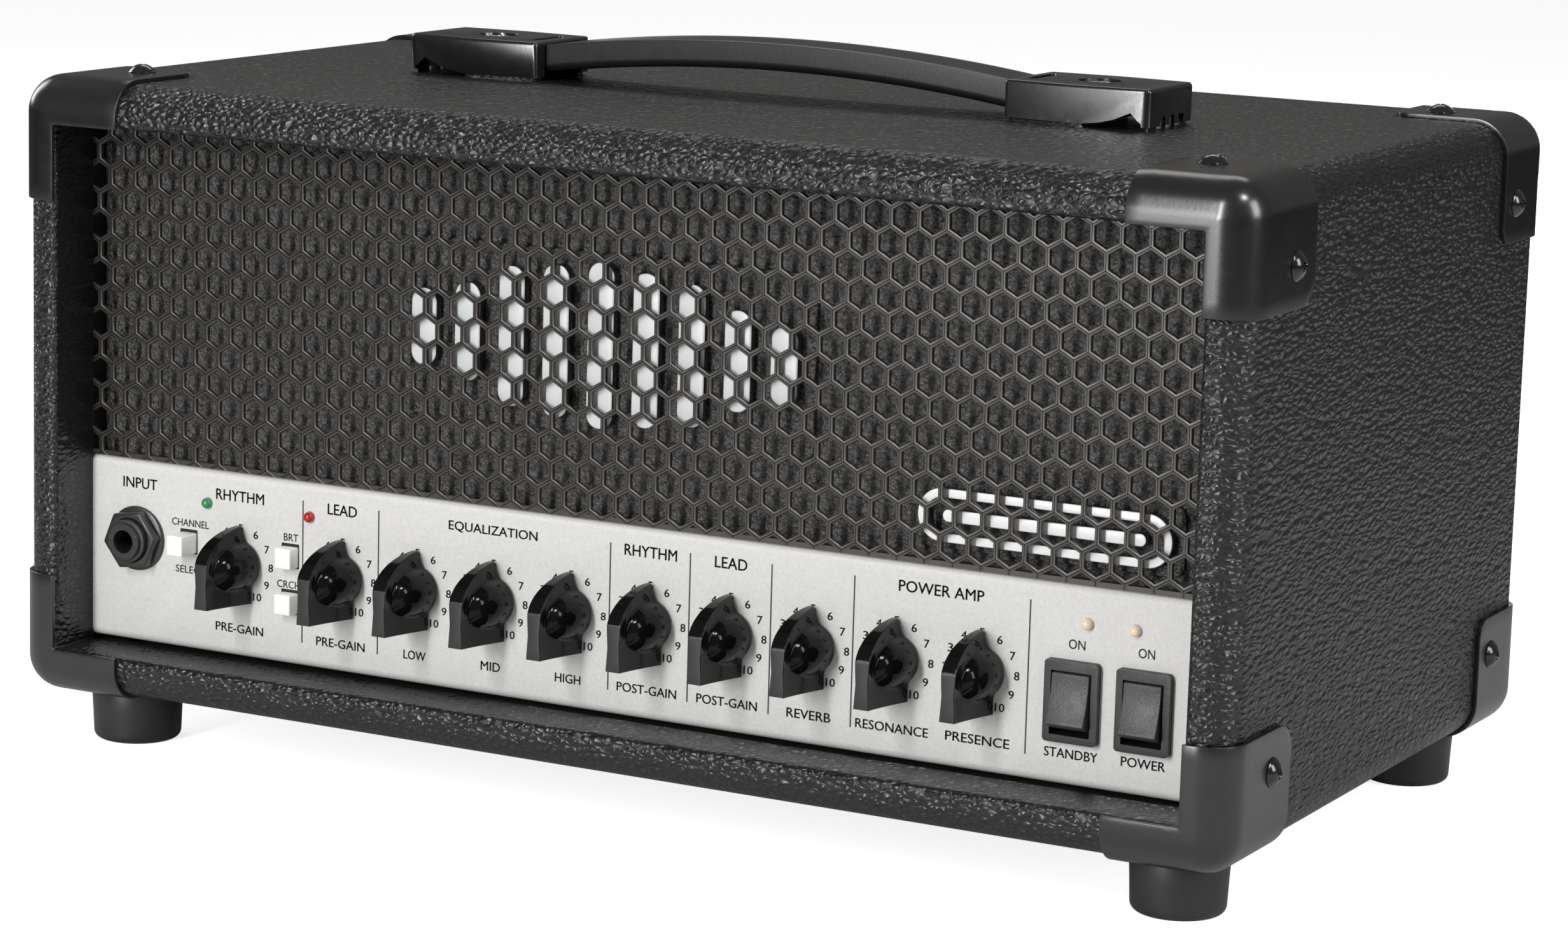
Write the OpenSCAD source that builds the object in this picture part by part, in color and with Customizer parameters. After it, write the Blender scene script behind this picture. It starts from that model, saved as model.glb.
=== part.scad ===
// Small valve guitar amplifier head: covered timber cabinet, metal corner protectors, strap handle,
// hexagon grille, front control panel and the chassis with its valves, transformers and boards.
// Frame: origin at the middle of the footprint on the standing surface, +Z up,
// front faces -Y, +X to the right of someone facing the controls.

/* [Cabinet] */
// Width of the covered cabinet
cabinet_w = 362; // [340:1:420]
// Height of the covered cabinet without its feet
cabinet_h = 169.5; // [165:0.5:190]
// Depth of the covered cabinet
cabinet_d = 211; // [200:1:240]
// Thickness of a covered wall
wall = 11.8; // [10:0.1:14]
// Radius of the outer edges
edge_r = 9; // [6:0.5:10]
// Thickness of the covering
cover_t = 0.8; // [0.6:0.1:1.2]
// Depth of the front and rear panels behind the rim
recess = 17.3; // [15:0.1:20]

/* [Corner protectors] */
// Sheet thickness of a protector
guard_t = 1.2; // [0.8:0.1:1.6]
// Length of a protector's legs along the front face
guard_leg = 32.7; // [28:0.1:36]
// Depth of a front protector along the sides
guard_front_d = 38.5; // [34:0.5:42]
// Depth of a rear protector along the sides
guard_rear_d = 33.8; // [30:0.2:38]
// Height of a corner screw's head
corner_head_h = 2.4; // [1.8:0.1:2.8]

/* [Feet] */
// Height of the cabinet above the standing surface
foot_h = 16.5; // [14:0.5:20]
// Radius of a foot
foot_r = 12.8; // [11:0.1:14]

/* [Handle] */
// Distance from the centre to a cap's inner end
cap_in_x = 72; // [66:1:80]
// Length of a cap
cap_len = 42; // [38:1:44]
// Height of a cap
cap_h = 11; // [10:0.5:13]
// Width of a cap at its middle
cap_w = 32; // [26:1:34]
// Height of the strap's crown above the cabinet
crown_h = 15.2; // [14:0.1:18]
// Width of the strap
strap_w = 19; // [16:0.5:20]
// Thickness of the strap
strap_t = 7.6; // [6:0.2:8]

/* [Controls] */
// Distance between neighbouring knobs
knob_pitch = 24; // [22:0.5:25]
// Radius of a knob's base
knob_r = 6.9; // [6:0.1:8.5]
// Height of a knob above the panel
knob_h = 18.8; // [16:0.2:19]
// Travel of a push button
button_travel = 3; // [2:0.5:3]
// Tilt of a rocker to each side of level
rocker_tilt = 13.5; // [8:0.5:14]

/* [Grille] */
// Distance between neighbouring holes
hex_pitch = 7.86; // [7.5:0.02:9]
// Width of the metal between two holes
hex_web = 1.6; // [1.2:0.1:2]

/* [Hidden] */
$fn = 48;
e = 0.01;

// Cabinet
base_z = foot_h;
top_z = foot_h + cabinet_h;
open_w = cabinet_w - 2 * wall;
open_h = cabinet_h - 2 * wall;
open_z = base_z + wall;
open_top = open_z + open_h;
front_y = -cabinet_d / 2;
rear_y = cabinet_d / 2;
inner_w = open_w + 2 * cover_t;
inner_h = open_h + 2 * cover_t;

// Corner hardware
corner_screw_side = 21.9;
corner_screw_front = 26.1;
corner_screw_rear = 24.6;
corner_shank_r = 1.8;
corner_shank_l = 9;
corner_head_r = 3.9;
guard_front_corner_r = 8;
guard_rear_corner_r = 5;

// Feet
foot_side = 21.7;
foot_in = 25;
foot_bolt_r = 2.3;
foot_top = base_z - guard_t;

// Handle
cap_mid_x = cap_in_x + cap_len / 2;
cap_end_w = cap_w - 3;
cap_wall = 0.8;
skirt_h = 1;
bolt_recess_r = 5.8;
bolt_recess_d = 2.4;
strap_reach = cap_in_x + 13;
strap_rise = crown_h - cap_h + cap_wall + 0.1;
strap_R = (cap_in_x * cap_in_x + strap_rise * strap_rise) / (2 * strap_rise);
handle_bolt_r = 2.4;

// Front panel: places are measured from the centre line and from the floor of the opening
panel_y = front_y + recess;
panel_t = 1.6;
panel_gap = 1;
panel_top = 52.6;
panel_bend_r = 2.4;
panel_flange = 12;
panel_w = inner_w - 0.4;
knob_z = open_z + 27.2;
first_knob_x = -119.2;
knob_row_x = -85.8;
knob_x = concat([first_knob_x], [for (i = [0 : 8]) knob_row_x + i * knob_pitch]);
shaft_l = 13.3;
knob_lift = 0.8;
button_upper_z = open_z + 31.2;
button_lower_z = open_z + 18.4;
button_x = [-136.5, -102.8, -102.8];
button_z = [button_upper_z, button_upper_z, button_lower_z];
button_w = 5.2;
button_tall = 5.7;
button_out = [7.1, 4.1, 4.1];
button_l = 12;
plunger_l = 4;
plunger_w = 3;
button_gap = 0.3;
jack_x = -153.8;
jack_z = open_z + 30.4;
led_z = open_z + 43;
led_x = [-130.2, -96.5, 135.1, 148.1];
led_r = 1.5;
rocker_x = [131.9, 151.4];
rocker_z = open_z + 22.9;
rocker_w = 10.3;
rocker_slot_w = 11;
rocker_slot_h = 16.4;
rocker_slot_d = 8;
rocker_drop = 0.4;
bezel_w = 14.6;
bezel_h = 21;
bezel_t = 2;
rocker_pivot = 4.1;
rocker_pin_r = 1;
running = 0.05;

// Pots, shafts and jacks
shaft_r = 3;
bush_r = 3.5;
bush_out = 3.4;
pot_r = 8.2;
plug_r = 3.25;
jack_out = 7;

// Grille
grille_t = 1.2;
grille_z = open_z + panel_top + 0.1;
grille_h = open_top + cover_t - 0.1 - grille_z;
grille_w = inner_w - 0.3;
backing_y = panel_y + 6.8;
first_hex_row = open_z + 145.3;
hex_r = (hex_pitch - hex_web) / sqrt(3);
row_pitch = hex_pitch * sqrt(3) / 2;
hex_rows = 14;
hex_start_x = -0.9;
function hex_x(row, col) = hex_start_x + (col + (row % 2 == 0 ? 0.5 : 0)) * hex_pitch;
emblem_y = panel_y + 2.4;
emblem_t = 3.2;

// Chassis and inside
chassis_y = panel_y + panel_t;
chassis_t = 1.2;
chassis_gap = 0.9;
chassis_z = open_z + panel_gap + panel_t + chassis_gap;
chassis_top = open_z + panel_top - panel_t - chassis_gap;
chassis_screw_x = 120;
chassis_screw_y = 50;
chassis_screw_r = 2;
chassis_screw_head_r = 4.2;
chassis_w = inner_w - 1.5;
rear_panel_y = rear_y - recess;
chassis_d = rear_panel_y - chassis_y;
board_z = chassis_z + 12;
valve_y = 34;
preamp_x = [-142, -104, -66];
power_x = [-22, 18];
valve_r = 10.6;
preamp_l = 50;
power_l = 70;
socket_h = 9;
pt_x = 128;
ot_x = 72;

// Rear panel places
rear_z = open_z + 26;
rear_jack_x = [-40, -10, 40, 70, 100];
inlet_x = -140;
fuse_x = -98;

// A rectangle with round corners, centred
module round_rect(w, h, r) {
    square([w - 2 * r, h], center = true);
    square([w, h - 2 * r], center = true);
    for (sx = [-1, 1], sy = [-1, 1])
        translate([sx * (w / 2 - r), sy * (h / 2 - r)]) circle(r);
}

// A block with round edges, standing on z = 0, centred in x and y
module round_block(w, d, h, r) {
    translate([0, 0, h / 2]) intersection() {
        rotate([90, 0, 0]) linear_extrude(height = d, center = true) round_rect(w, h, r);
        linear_extrude(height = h, center = true) round_rect(w, d, r);
        rotate([90, 0, 90]) linear_extrude(height = w, center = true) round_rect(d, h, r);
    }
}

// The cabinet's outside, larger by grow on every side
module cabinet_block(grow) {
    translate([0, 0, base_z - grow])
        round_block(cabinet_w + 2 * grow, cabinet_d + 2 * grow, cabinet_h + 2 * grow, edge_r + grow);
}

// A cylinder along +Y, from y to y + l
module cyl_y(x, y, z, r, l) {
    translate([x, y, z]) rotate([-90, 0, 0]) cylinder(r = r, h = l);
}

// A box given by its middle in x and z, and its start in y
module box_y(x, y, z, w, l, h) {
    translate([x - w / 2, y, z - h / 2]) cube([w, l, h]);
}

// A tunnel through the cabinet from front to rear
module tunnel(w, h) {
    box_y(0, front_y - 20, open_z + open_h / 2, w, cabinet_d + 40, h);
}

// Corner screws, drawn once along +Z from the protector's outer face
module corner_screw(r, head) {
    translate([0, 0, -guard_t - corner_shank_l]) cylinder(r = r, h = corner_shank_l + guard_t + e);
    if (head) difference() {
        dome_r = (corner_head_r * corner_head_r + corner_head_h * corner_head_h) / (2 * corner_head_h);
        intersection() {
            translate([0, 0, corner_head_h - dome_r]) sphere(dome_r);
            cylinder(r = corner_head_r, h = corner_head_h);
        }
        for (a = [0, 90]) rotate(a) translate([-0.55, -2, 0.9]) cube([1.1, 4, 3]);
    }
}

// Every corner screw in its place: one on the top and one on the side of each upper corner,
// one on the side of each lower corner. The feet's bolts hold the lower faces.
module corner_screw_set(r, head) {
    for (sx = [-1, 1], y = [front_y + corner_screw_front, rear_y - corner_screw_rear]) {
        translate([sx * (cabinet_w / 2 - corner_screw_side), y, top_z + guard_t])
            corner_screw(r, head);
        for (z = [base_z + corner_screw_side, top_z - corner_screw_side])
            translate([sx * (cabinet_w / 2 + guard_t), y, z])
                rotate([0, sx * 90, 0]) corner_screw(r, head);
    }
}

// The four foot places
module at_feet() {
    for (sx = [-1, 1], sy = [-1, 1])
        translate([sx * (cabinet_w / 2 - foot_side), sy * (cabinet_d / 2 - foot_in), 0]) children();
}

// The two handle bolts' places
module at_handle_bolts() {
    for (sx = [-1, 1]) translate([sx * cap_mid_x, 0, top_z]) children();
}

// The four chassis screws' places
module at_chassis_screws() {
    for (x = [-chassis_screw_x, chassis_screw_x], y = [-chassis_screw_y, chassis_screw_y])
        translate([x, y, 0]) children();
}

// Timber of the top and bottom boards
module timber() {
    difference() {
        cabinet_block(-cover_t);
        tunnel(inner_w, inner_h);
        corner_screw_set(corner_shank_r + 0.02, false);
        at_feet() translate([0, 0, base_z - 1]) cylinder(r = foot_bolt_r + 0.02, h = 12);
        at_handle_bolts() translate([0, 0, -wall - 1]) cylinder(r = handle_bolt_r + 0.1, h = wall + 2);
        at_chassis_screws() translate([0, 0, base_z - 1]) cylinder(r = chassis_screw_r + 0.1, h = wall + 2);
    }
}
module slab(z, h) {
    translate([-cabinet_w / 2, front_y, z]) cube([cabinet_w, cabinet_d, h]);
}
module top_board() {
    color("#8a6a45") intersection() { timber(); slab(open_top + cover_t, wall); }
}
module bottom_board() {
    color("#8a6a45") intersection() { timber(); slab(base_z, wall - cover_t); }
}
module side_board(sx) {
    color("#8a6a45") difference() {
        intersection() {
            cabinet_block(-cover_t);
            box_y(sx * (inner_w / 2 + wall), front_y, open_z + open_h / 2, 2 * wall, cabinet_d, inner_h);
        }
        corner_screw_set(corner_shank_r + 0.02, false);
    }
}
module left_board() { side_board(-1); }
module right_board() { side_board(1); }

// Textured covering: wraps the outside and turns in over the front and rear rims
module covering() {
    color("#1b1b1d") difference() {
        union() {
            difference() {
                cabinet_block(0);
                cabinet_block(-cover_t);
            }
            for (ends = [[front_y + cover_t / 2, panel_y], [rear_panel_y + grille_t, rear_y - cover_t / 2]])
                difference() {
                    box_y(0, ends[0], open_z + open_h / 2, inner_w, ends[1] - ends[0], inner_h);
                    tunnel(open_w, open_h);
                }
        }
        tunnel(open_w, open_h);
        corner_screw_set(corner_shank_r + 0.02, false);
        at_feet() translate([0, 0, base_z - 1]) cylinder(r = foot_bolt_r + 0.02, h = 12);
        at_handle_bolts() translate([0, 0, -wall]) cylinder(r = handle_bolt_r + 0.1, h = wall + 2);
        at_chassis_screws() translate([0, 0, base_z - 1]) cylinder(r = chassis_screw_head_r + 0.8, h = 3);
    }
}

// One pressed protector shell for each corner; depth is its length along the sides
module protectors(sy, depth, corner_r) {
    color("#2b2b2c") difference() {
        cabinet_block(guard_t);
        cabinet_block(0);
        tunnel(open_w, open_h);
        corner_screw_set(corner_shank_r + 0.15, false);
        at_feet() translate([0, 0, base_z - 5]) cylinder(r = foot_bolt_r + 0.15, h = 10);
        // what lies between the corners, with round ends to the legs
        translate([0, sy * (cabinet_d / 2 + 100 - depth) - sy * 100, base_z - 20])
            mirror([0, sy > 0 ? 1 : 0, 0]) translate([-cabinet_w, 0, 0])
                cube([2 * cabinet_w, 2 * cabinet_d, 2 * cabinet_h]);
        leg_gap(cabinet_w - 2 * guard_leg, depth, sy, corner_r);
        side_gap(cabinet_h - 2 * guard_leg, depth, sy, corner_r);
    }
}
// The gap between the legs seen from above, with its corners rounded into the legs
module leg_gap(w, depth, sy, r) {
    translate([0, sy * cabinet_d / 2, base_z - 20]) linear_extrude(height = cabinet_h + 40) {
        square([w, 4 * edge_r], center = true);
        square([w, 2 * (depth + 10)], center = true);
        for (sx = [-1, 1]) translate([sx * w / 2, -sy * depth]) difference() {
            square(2 * r, center = true);
            translate([sx * r, sy * r]) circle(r);
        }
    }
}
// The same gap seen from the side
module side_gap(h, depth, sy, r) {
    translate([0, sy * cabinet_d / 2, base_z + cabinet_h / 2]) rotate([90, 0, 90])
        linear_extrude(height = cabinet_w + 40, center = true) {
            square([2 * (depth + 10), h], center = true);
            for (sz = [-1, 1]) translate([-sy * depth, sz * h / 2]) difference() {
                square(2 * r, center = true);
                translate([sy * r, sz * r]) circle(r);
            }
        }
}
module front_corner_protectors() { protectors(-1, guard_front_d, guard_front_corner_r); }
module rear_corner_protectors() { protectors(1, guard_rear_d, guard_rear_corner_r); }
module corner_screws() { color("#141414") corner_screw_set(corner_shank_r, true); }

// Feet: tapered rubber cups with a recessed bolt
module rubber_feet() {
    color("#161616") at_feet() rotate_extrude() difference() {
        union() {
            polygon([[0, 2.2], [foot_r - 0.6, 2.2], [foot_r, foot_top], [0, foot_top]]);
            translate([0, 0]) square([foot_r - 2.8, 2.3]);
            translate([foot_r - 2.8, 2.2]) circle(2.2);
        }
        square([5.4, 8]);
        square([foot_bolt_r + 0.2, 40]);
        translate([-10, -10]) square([10, 60]);
    }
}
module foot_screws() {
    color("#555555") at_feet() {
        translate([0, 0, 5.4]) difference() {
            cylinder(r = 4.4, h = 2.6);
            for (a = [0, 90]) rotate(a) translate([-0.6, -2.4, -1]) cube([1.2, 4.8, 2.2]);
        }
        translate([0, 0, 8 - e]) cylinder(r = foot_bolt_r, h = base_z + 9 - 8);
    }
}

// Strap: an arc of a flat bar with round lower edges
module strap_section() {
    translate([strap_R - strap_t, 0]) {
        translate([strap_t / 2, 0]) square([strap_t, strap_w - 5], center = true);
        translate([strap_t - (strap_t - 2.4) / 2, 0]) square([strap_t - 2.4, strap_w], center = true);
        for (s = [-1, 1]) translate([2.5, s * (strap_w / 2 - 2.5)]) circle(2.5);
    }
}
module handle_strap() {
    half = asin(strap_reach / strap_R);
    color("#232324") difference() {
        translate([0, 0, top_z + crown_h - strap_R]) rotate([90, 0, 0]) rotate([0, 0, 90 - half])
            rotate_extrude(angle = 2 * half, $fn = 360) strap_section();
        translate([-cabinet_w / 2, -30, top_z - 60]) cube([cabinet_w, 60, 60.4]);
    }
}

// Cap: outline, widest at the bolt and narrower at both ends
module cap_outline(shrink) {
    polygon([for (s = [[-1, -1], [0, -1], [1, -1], [1, 1], [0, 1], [-1, 1]])
        [s[0] * (cap_len / 2 - shrink), s[1] * ((s[0] == 0 ? cap_w : cap_end_w) / 2 - shrink)]]);
}
module cap_edges() {
    rotate([90, 0, 0]) linear_extrude(height = 60, center = true) {
        translate([0, cap_h / 2 - 5]) square([cap_len + 20, cap_h + 10 - 3], center = true);
        translate([0, cap_h / 2]) square([cap_len - 3, cap_h], center = true);
        for (s = [-1, 1]) translate([s * (cap_len / 2 - 1.5), cap_h - 1.5]) circle(1.5);
    }
}
module handle_cap(sx) {
    color("#2d2d2e") translate([sx * cap_mid_x, 0, top_z]) mirror([sx < 0 ? 1 : 0, 0, 0]) difference() {
        intersection() {
            union() {
                translate([0, 0, skirt_h]) linear_extrude(height = cap_h - skirt_h) cap_outline(0);
                linear_extrude(height = cap_h / 2) cap_outline(1);
            }
            cap_edges();
        }
        // hollow for the strap, open at the inner end and underneath
        translate([-cap_len / 2 - 1, -strap_w / 2 - 0.5, -1])
            cube([strap_reach - cap_in_x + 1.8, strap_w + 1, cap_h - cap_wall + 1]);
        translate([0, 0, -1]) cylinder(r = 9.6, h = cap_h - bolt_recess_d - 1.6 + 1);
        // recess of the bolt, its hole, the slot and the notches at the outer end
        translate([0, 0, cap_h - bolt_recess_d]) cylinder(r = bolt_recess_r, h = 4);
        translate([0, 0, -1]) cylinder(r = handle_bolt_r + 0.2, h = 20);
        translate([-cap_len / 2 + 3.4, -8, cap_h - cap_wall - 0.4]) cube([2.6, 16, 2]);
        for (y = [-6, 0, 6]) translate([cap_len / 2 - 3, y - 1.6, -1]) cube([6, 3.2, 3.4]);
        // the side walls rise in a curve before the outer end
        rotate([90, 0, 0]) linear_extrude(height = 2 * cap_w, center = true) polygon(
            [[2, -1], [2, skirt_h], [7, 1.6], [11, 2.6], [15.6, 4.6], [17.6, 2.6], [18.6, 2], [18.6, -1]]);
    }
}
module handle_cap_left() { handle_cap(-1); }
module handle_cap_right() { handle_cap(1); }
module handle_screws() {
    color("#8f8f8f") at_handle_bolts() {
        translate([0, 0, cap_h - bolt_recess_d]) difference() {
            union() {
                cylinder(r = 4.6, h = 1.2);
                translate([0, 0, 1.2]) cylinder(r1 = 4.6, r2 = 3.2, h = 0.8);
            }
            for (a = [0, 90]) rotate(a) translate([-0.6, -2.2, 0.8]) cube([1.2, 4.4, 3]);
        }
        translate([0, 0, -wall - 3.6])
            cylinder(r = handle_bolt_r, h = wall + 3.6 + cap_h - bolt_recess_d + e);
        translate([0, 0, -wall - 3]) difference() {
            cylinder(r = 4.6, h = 3, $fn = 6);
            translate([0, 0, -1]) cylinder(r = handle_bolt_r + 0.03, h = 5, $fn = 48);
        }
    }
}

// Grille: sheet with a field of pointed hexagon holes
module front_grille() {
    color("#2a2a2b") translate([0, panel_y + grille_t, 0]) rotate([90, 0, 0])
        linear_extrude(height = grille_t) difference() {
            translate([-grille_w / 2, grille_z]) square([grille_w, grille_h]);
            for (row = [0 : hex_rows - 1], col = [-22 : 22])
                translate([hex_x(row, col), first_hex_row - row * row_pitch]) rotate(90) circle(hex_r, $fn = 6);
        }
}
module grille_backing() {
    color("#202022") box_y(0, backing_y, grille_z + grille_h / 2, grille_w - 0.4, 1.5, grille_h - 0.4);
}

// Emblem behind the grille: a row of upright bars, tall in the middle, on a plain carrier
module front_emblem() {
    color("#cfd0d0") {
        box_y(-8, emblem_y + emblem_t, open_z + 98.3, 124, 1.2, 48);
        for (i = [-4 : 4])
            translate([-8 + i * 13.6, emblem_y + emblem_t, open_z + 98.3]) rotate([90, 0, 0])
                linear_extrude(height = emblem_t) round_rect(8, 16 + 28 * cos(i * 20 + 8 * (i % 2)), 3.9);
    }
}
// Small badge: a stadium ring around a bar
module badge() {
    color("#e8e8e8") translate([120.7, emblem_y + emblem_t, open_z + 65.2]) rotate([90, 0, 0]) {
        linear_extrude(height = emblem_t) difference() {
            round_rect(70, 14, 6.9);
            round_rect(65, 9, 4.4);
        }
        linear_extrude(height = emblem_t) round_rect(56, 3.4, 1.65);
    }
    color("#e8e8e8") box_y(120.7, emblem_y + emblem_t, open_z + 65.2, 74, 1.2, 18);
}

// The hole a push button slides in
module button_hole(i, y, l) {
    box_y(button_x[i], y, button_z[i], button_w + 2 * button_gap, l, button_tall + 2 * button_gap);
}

// Chassis: an upside-down tray that carries the valves and transformers on its top
module chassis() {
    color("#b9bbbd") difference() {
        box_y(0, chassis_y, (chassis_z + chassis_top) / 2, chassis_w, chassis_d, chassis_top - chassis_z);
        box_y(0, chassis_y + chassis_t, (chassis_z + chassis_top) / 2 - chassis_t,
            chassis_w + 2, chassis_d - 2 * chassis_t, chassis_top - chassis_z + e);
        for (x = knob_x) cyl_y(x, chassis_y - 1, knob_z, bush_r + 0.1, 4);
        cyl_y(jack_x, chassis_y - 1, jack_z, 6.1, 4);
        for (x = led_x) cyl_y(x, chassis_y - 1, led_z, led_r + 0.1, 4);
        for (i = [0 : 2]) button_hole(i, chassis_y - 1, 4);
        for (x = rocker_x) box_y(x, chassis_y - 1, rocker_z, bezel_w - 1.8, 4, bezel_h - 1);
        for (x = concat(preamp_x, power_x))
            translate([x, valve_y, chassis_top - 3]) cylinder(r = 8.2, h = 5);
        for (x = rear_jack_x) cyl_y(x, rear_panel_y - 3, rear_z, 6.1, 6);
        box_y(inlet_x, rear_panel_y - 3, rear_z, 28.2, 6, 20.2);
        cyl_y(fuse_x, rear_panel_y - 3, rear_z, 6.6, 6);
    }
    // folded feet that the chassis screws go up into
    color("#b9bbbd") at_chassis_screws() difference() {
        translate([-9, -9, open_z + cover_t]) cube([18, 18, board_z - open_z - cover_t]);
        translate([0, 0, open_z - 5]) cylinder(r = chassis_screw_r + 0.05, h = board_z);
    }
}

// Front panel: brushed sheet bent back along its upper and lower edges
module control_panel() {
    h = panel_top - panel_gap;
    color("#c4c6c8") difference() {
        translate([-panel_w / 2, 0, open_z + panel_gap]) rotate([90, 0, 90]) linear_extrude(height = panel_w)
            intersection() {
                difference() {
                    translate([panel_y + 20, h / 2]) round_rect(40, h, panel_bend_r);
                    translate([panel_y + panel_t + 20, h / 2])
                        round_rect(40, h - 2 * panel_t, panel_bend_r - panel_t);
                }
                translate([panel_y, 0]) square([panel_flange, h]);
            }
        for (x = knob_x) cyl_y(x, panel_y - 1, knob_z, bush_r + 0.1, 4);
        cyl_y(jack_x, panel_y - 1, jack_z, 6.1, 4);
        for (x = led_x) cyl_y(x, panel_y - 1, led_z, led_r + 0.05, 4);
        for (i = [0 : 2]) button_hole(i, panel_y - 1, 4);
        for (x = rocker_x) box_y(x, panel_y - 1, rocker_z, bezel_w - 1.8, 4, bezel_h - 1);
    }
}

// A jack: threaded bush through the panel, with its body behind; sy is -1 for the front
module jack(x, y, z, sy) {
    translate([x, y, z]) rotate([-sy * 90, 0, 0]) difference() {
        union() {
            translate([-8, -8, -22]) cube([16, 16, 22 - panel_t - chassis_t - 0.1]);
            translate([0, 0, -panel_t - chassis_t - 0.2]) cylinder(r = 6, h = 5.8 + panel_t + chassis_t);
            cylinder(r = 5, h = jack_out);
        }
        translate([0, 0, -19]) cylinder(r = plug_r, h = 40);
    }
}
module jack_nut(x, y, z, sy, flange_r, flange_t, hex_t) {
    translate([x, y, z]) rotate([-sy * 90, 0, 0]) difference() {
        union() {
            cylinder(r = flange_r, h = flange_t);
            rotate([0, 0, 8]) cylinder(r = flange_r - 0.4, h = flange_t + hex_t, $fn = 6);
        }
        translate([0, 0, -1]) cylinder(r = 6.03, h = 10);
    }
}
module input_jack() { color("#3a3a3a") jack(jack_x, panel_y, jack_z, -1); }
module input_jack_nut() { color("#2a2a2a") jack_nut(jack_x, panel_y, jack_z, -1, 9.2, 1.2, 3.2); }

// Lamps: domed light-emitting diodes with a leg block behind
module led(i) {
    translate([led_x[i], panel_y - 0.6, led_z]) rotate([90, 0, 0]) {
        sphere(led_r);
        translate([0, 0, -6]) cylinder(r = led_r, h = 6);
        translate([0, 0, -8]) cylinder(r = led_r + 0.5, h = 2.4);
    }
}
module rhythm_led() { color("#7fae5a") led(0); }
module lead_led() { color("#c0342c") led(1); }
module valve_status_leds() { color("#e9cfc4") for (i = [2, 3]) led(i); }

// Push buttons: a cap on a plunger that slides into the switch body behind the chassis
module button(i) {
    color("#e8e8e6") {
        box_y(button_x[i], panel_y - button_out[i], button_z[i], button_w, button_l, button_tall);
        box_y(button_x[i], panel_y - button_out[i] + button_l, button_z[i], plunger_w, plunger_l, plunger_w);
    }
}
module push_switches() {
    color("#3c3c3e") for (i = [0 : 2]) difference() {
        depth = button_l - button_out[i] + plunger_l + button_travel + 0.8 - panel_t;
        box_y(button_x[i], chassis_y + chassis_t, button_z[i], 9, depth + 4, 9.6);
        button_hole(i, chassis_y, depth);
    }
}
module channel_button() { button(0); }
module bright_button() { button(1); }
module crunch_button() { button(2); }

// Rocker switches: the paddle turns on two side pins in the frame
module rocker_frame(x) {
    y0 = panel_y - bezel_t;
    color("#262626") difference() {
        union() {
            box_y(x, y0, rocker_z, bezel_w, bezel_t, bezel_h);
            box_y(x, y0 + bezel_t, rocker_z, bezel_w - 2, 20, bezel_h - 1.1);
        }
        box_y(x, y0 - 1, rocker_z - rocker_drop, rocker_slot_w, rocker_slot_d + 1, rocker_slot_h);
        translate([x - 6, y0 + rocker_pivot, rocker_z - rocker_drop]) rotate([0, 90, 0])
            cylinder(r = rocker_pin_r + running, h = 12);
    }
}
module rocker(x) {
    color("#2f2f30") translate([x, panel_y - bezel_t + rocker_pivot, rocker_z - rocker_drop])
        rotate([-rocker_tilt, 0, 0]) {
            rotate([90, 0, 90]) linear_extrude(height = rocker_w, center = true)
                polygon([[-5.45, 0], [-6.2, 6.45], [-4, 7.1], [1.2, 7.4], [1.2, -7.4], [-4, -7.1], [-6.2, -6.45]]);
            rotate([0, 90, 0]) cylinder(r = rocker_pin_r, h = 11.6, center = true);
        }
}
module standby_frame() { rocker_frame(rocker_x[0]); }
module power_frame() { rocker_frame(rocker_x[1]); }
module standby_rocker() { rocker(rocker_x[0]); }
module power_rocker() { rocker(rocker_x[1]); }

// Potentiometers: a can behind the chassis and a bored bush through both sheets
module potentiometers() {
    color("#9a9b9c") for (x = knob_x) difference() {
        union() {
            cyl_y(x, chassis_y + chassis_t, knob_z, pot_r, 9);
            cyl_y(x, panel_y - bush_out, knob_z, bush_r, 8);
            box_y(x, chassis_y + chassis_t, knob_z - 10, 12, 2, 8);
        }
        cyl_y(x, panel_y - 10, knob_z, shaft_r + running, 14.4);
    }
}

// Knob with its shaft: a domed base under a pointer that falls away towards its nose
module knob(i) {
    translate([knob_x[i], panel_y, knob_z]) rotate([90, 0, 0]) {
        color("#101010") difference() {
            union() {
                rotate_extrude() polygon(concat([[0, knob_lift], [knob_r, knob_lift], [knob_r, 4.5]],
                    [for (a = [10 : 10 : 80]) [knob_r * cos(a), 4.5 + (knob_h - 7.3) * sin(a)]],
                    [[0, knob_h - 2.8]]));
                intersection() {
                    hull() {
                        translate([0, 0, knob_lift]) linear_extrude(height = 0.1) polygon(
                            [[-4.3, -10.6], [4.3, -10.6], [4.3, 0], [0.7, 10.9], [-0.7, 10.9], [-4.3, 0]]);
                        translate([0, 0, knob_h - 0.1]) linear_extrude(height = 0.1) polygon(
                            [[-2.2, -9.7], [2.2, -9.7], [2.1, 2], [0.8, 10.9], [-0.8, 10.9], [-2.1, 2]]);
                    }
                    rotate([90, 0, 90]) linear_extrude(height = 20, center = true) polygon(
                        concat([for (a = [9 : 9 : 90]) [1.7 + 9.2 * cos(a), (knob_h + 0.1) * sin(a)]],
                            [[-10.6, knob_h], [-10.6, knob_lift], [10.9, knob_lift]]));
                }
            }
            translate([0, 0, -1]) cylinder(r = 5.6, h = 5.8);
            translate([0, 0, -1]) cylinder(r = shaft_r + 0.02, h = 10.4);
        }
        color("#a8a8aa") translate([0, 0, -4]) cylinder(r = shaft_r, h = shaft_l);
    }
}
module rhythm_gain_knob() { knob(0); }
module lead_gain_knob() { knob(1); }
module low_knob() { knob(2); }
module mid_knob() { knob(3); }
module high_knob() { knob(4); }
module rhythm_level_knob() { knob(5); }
module lead_level_knob() { knob(6); }
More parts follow.
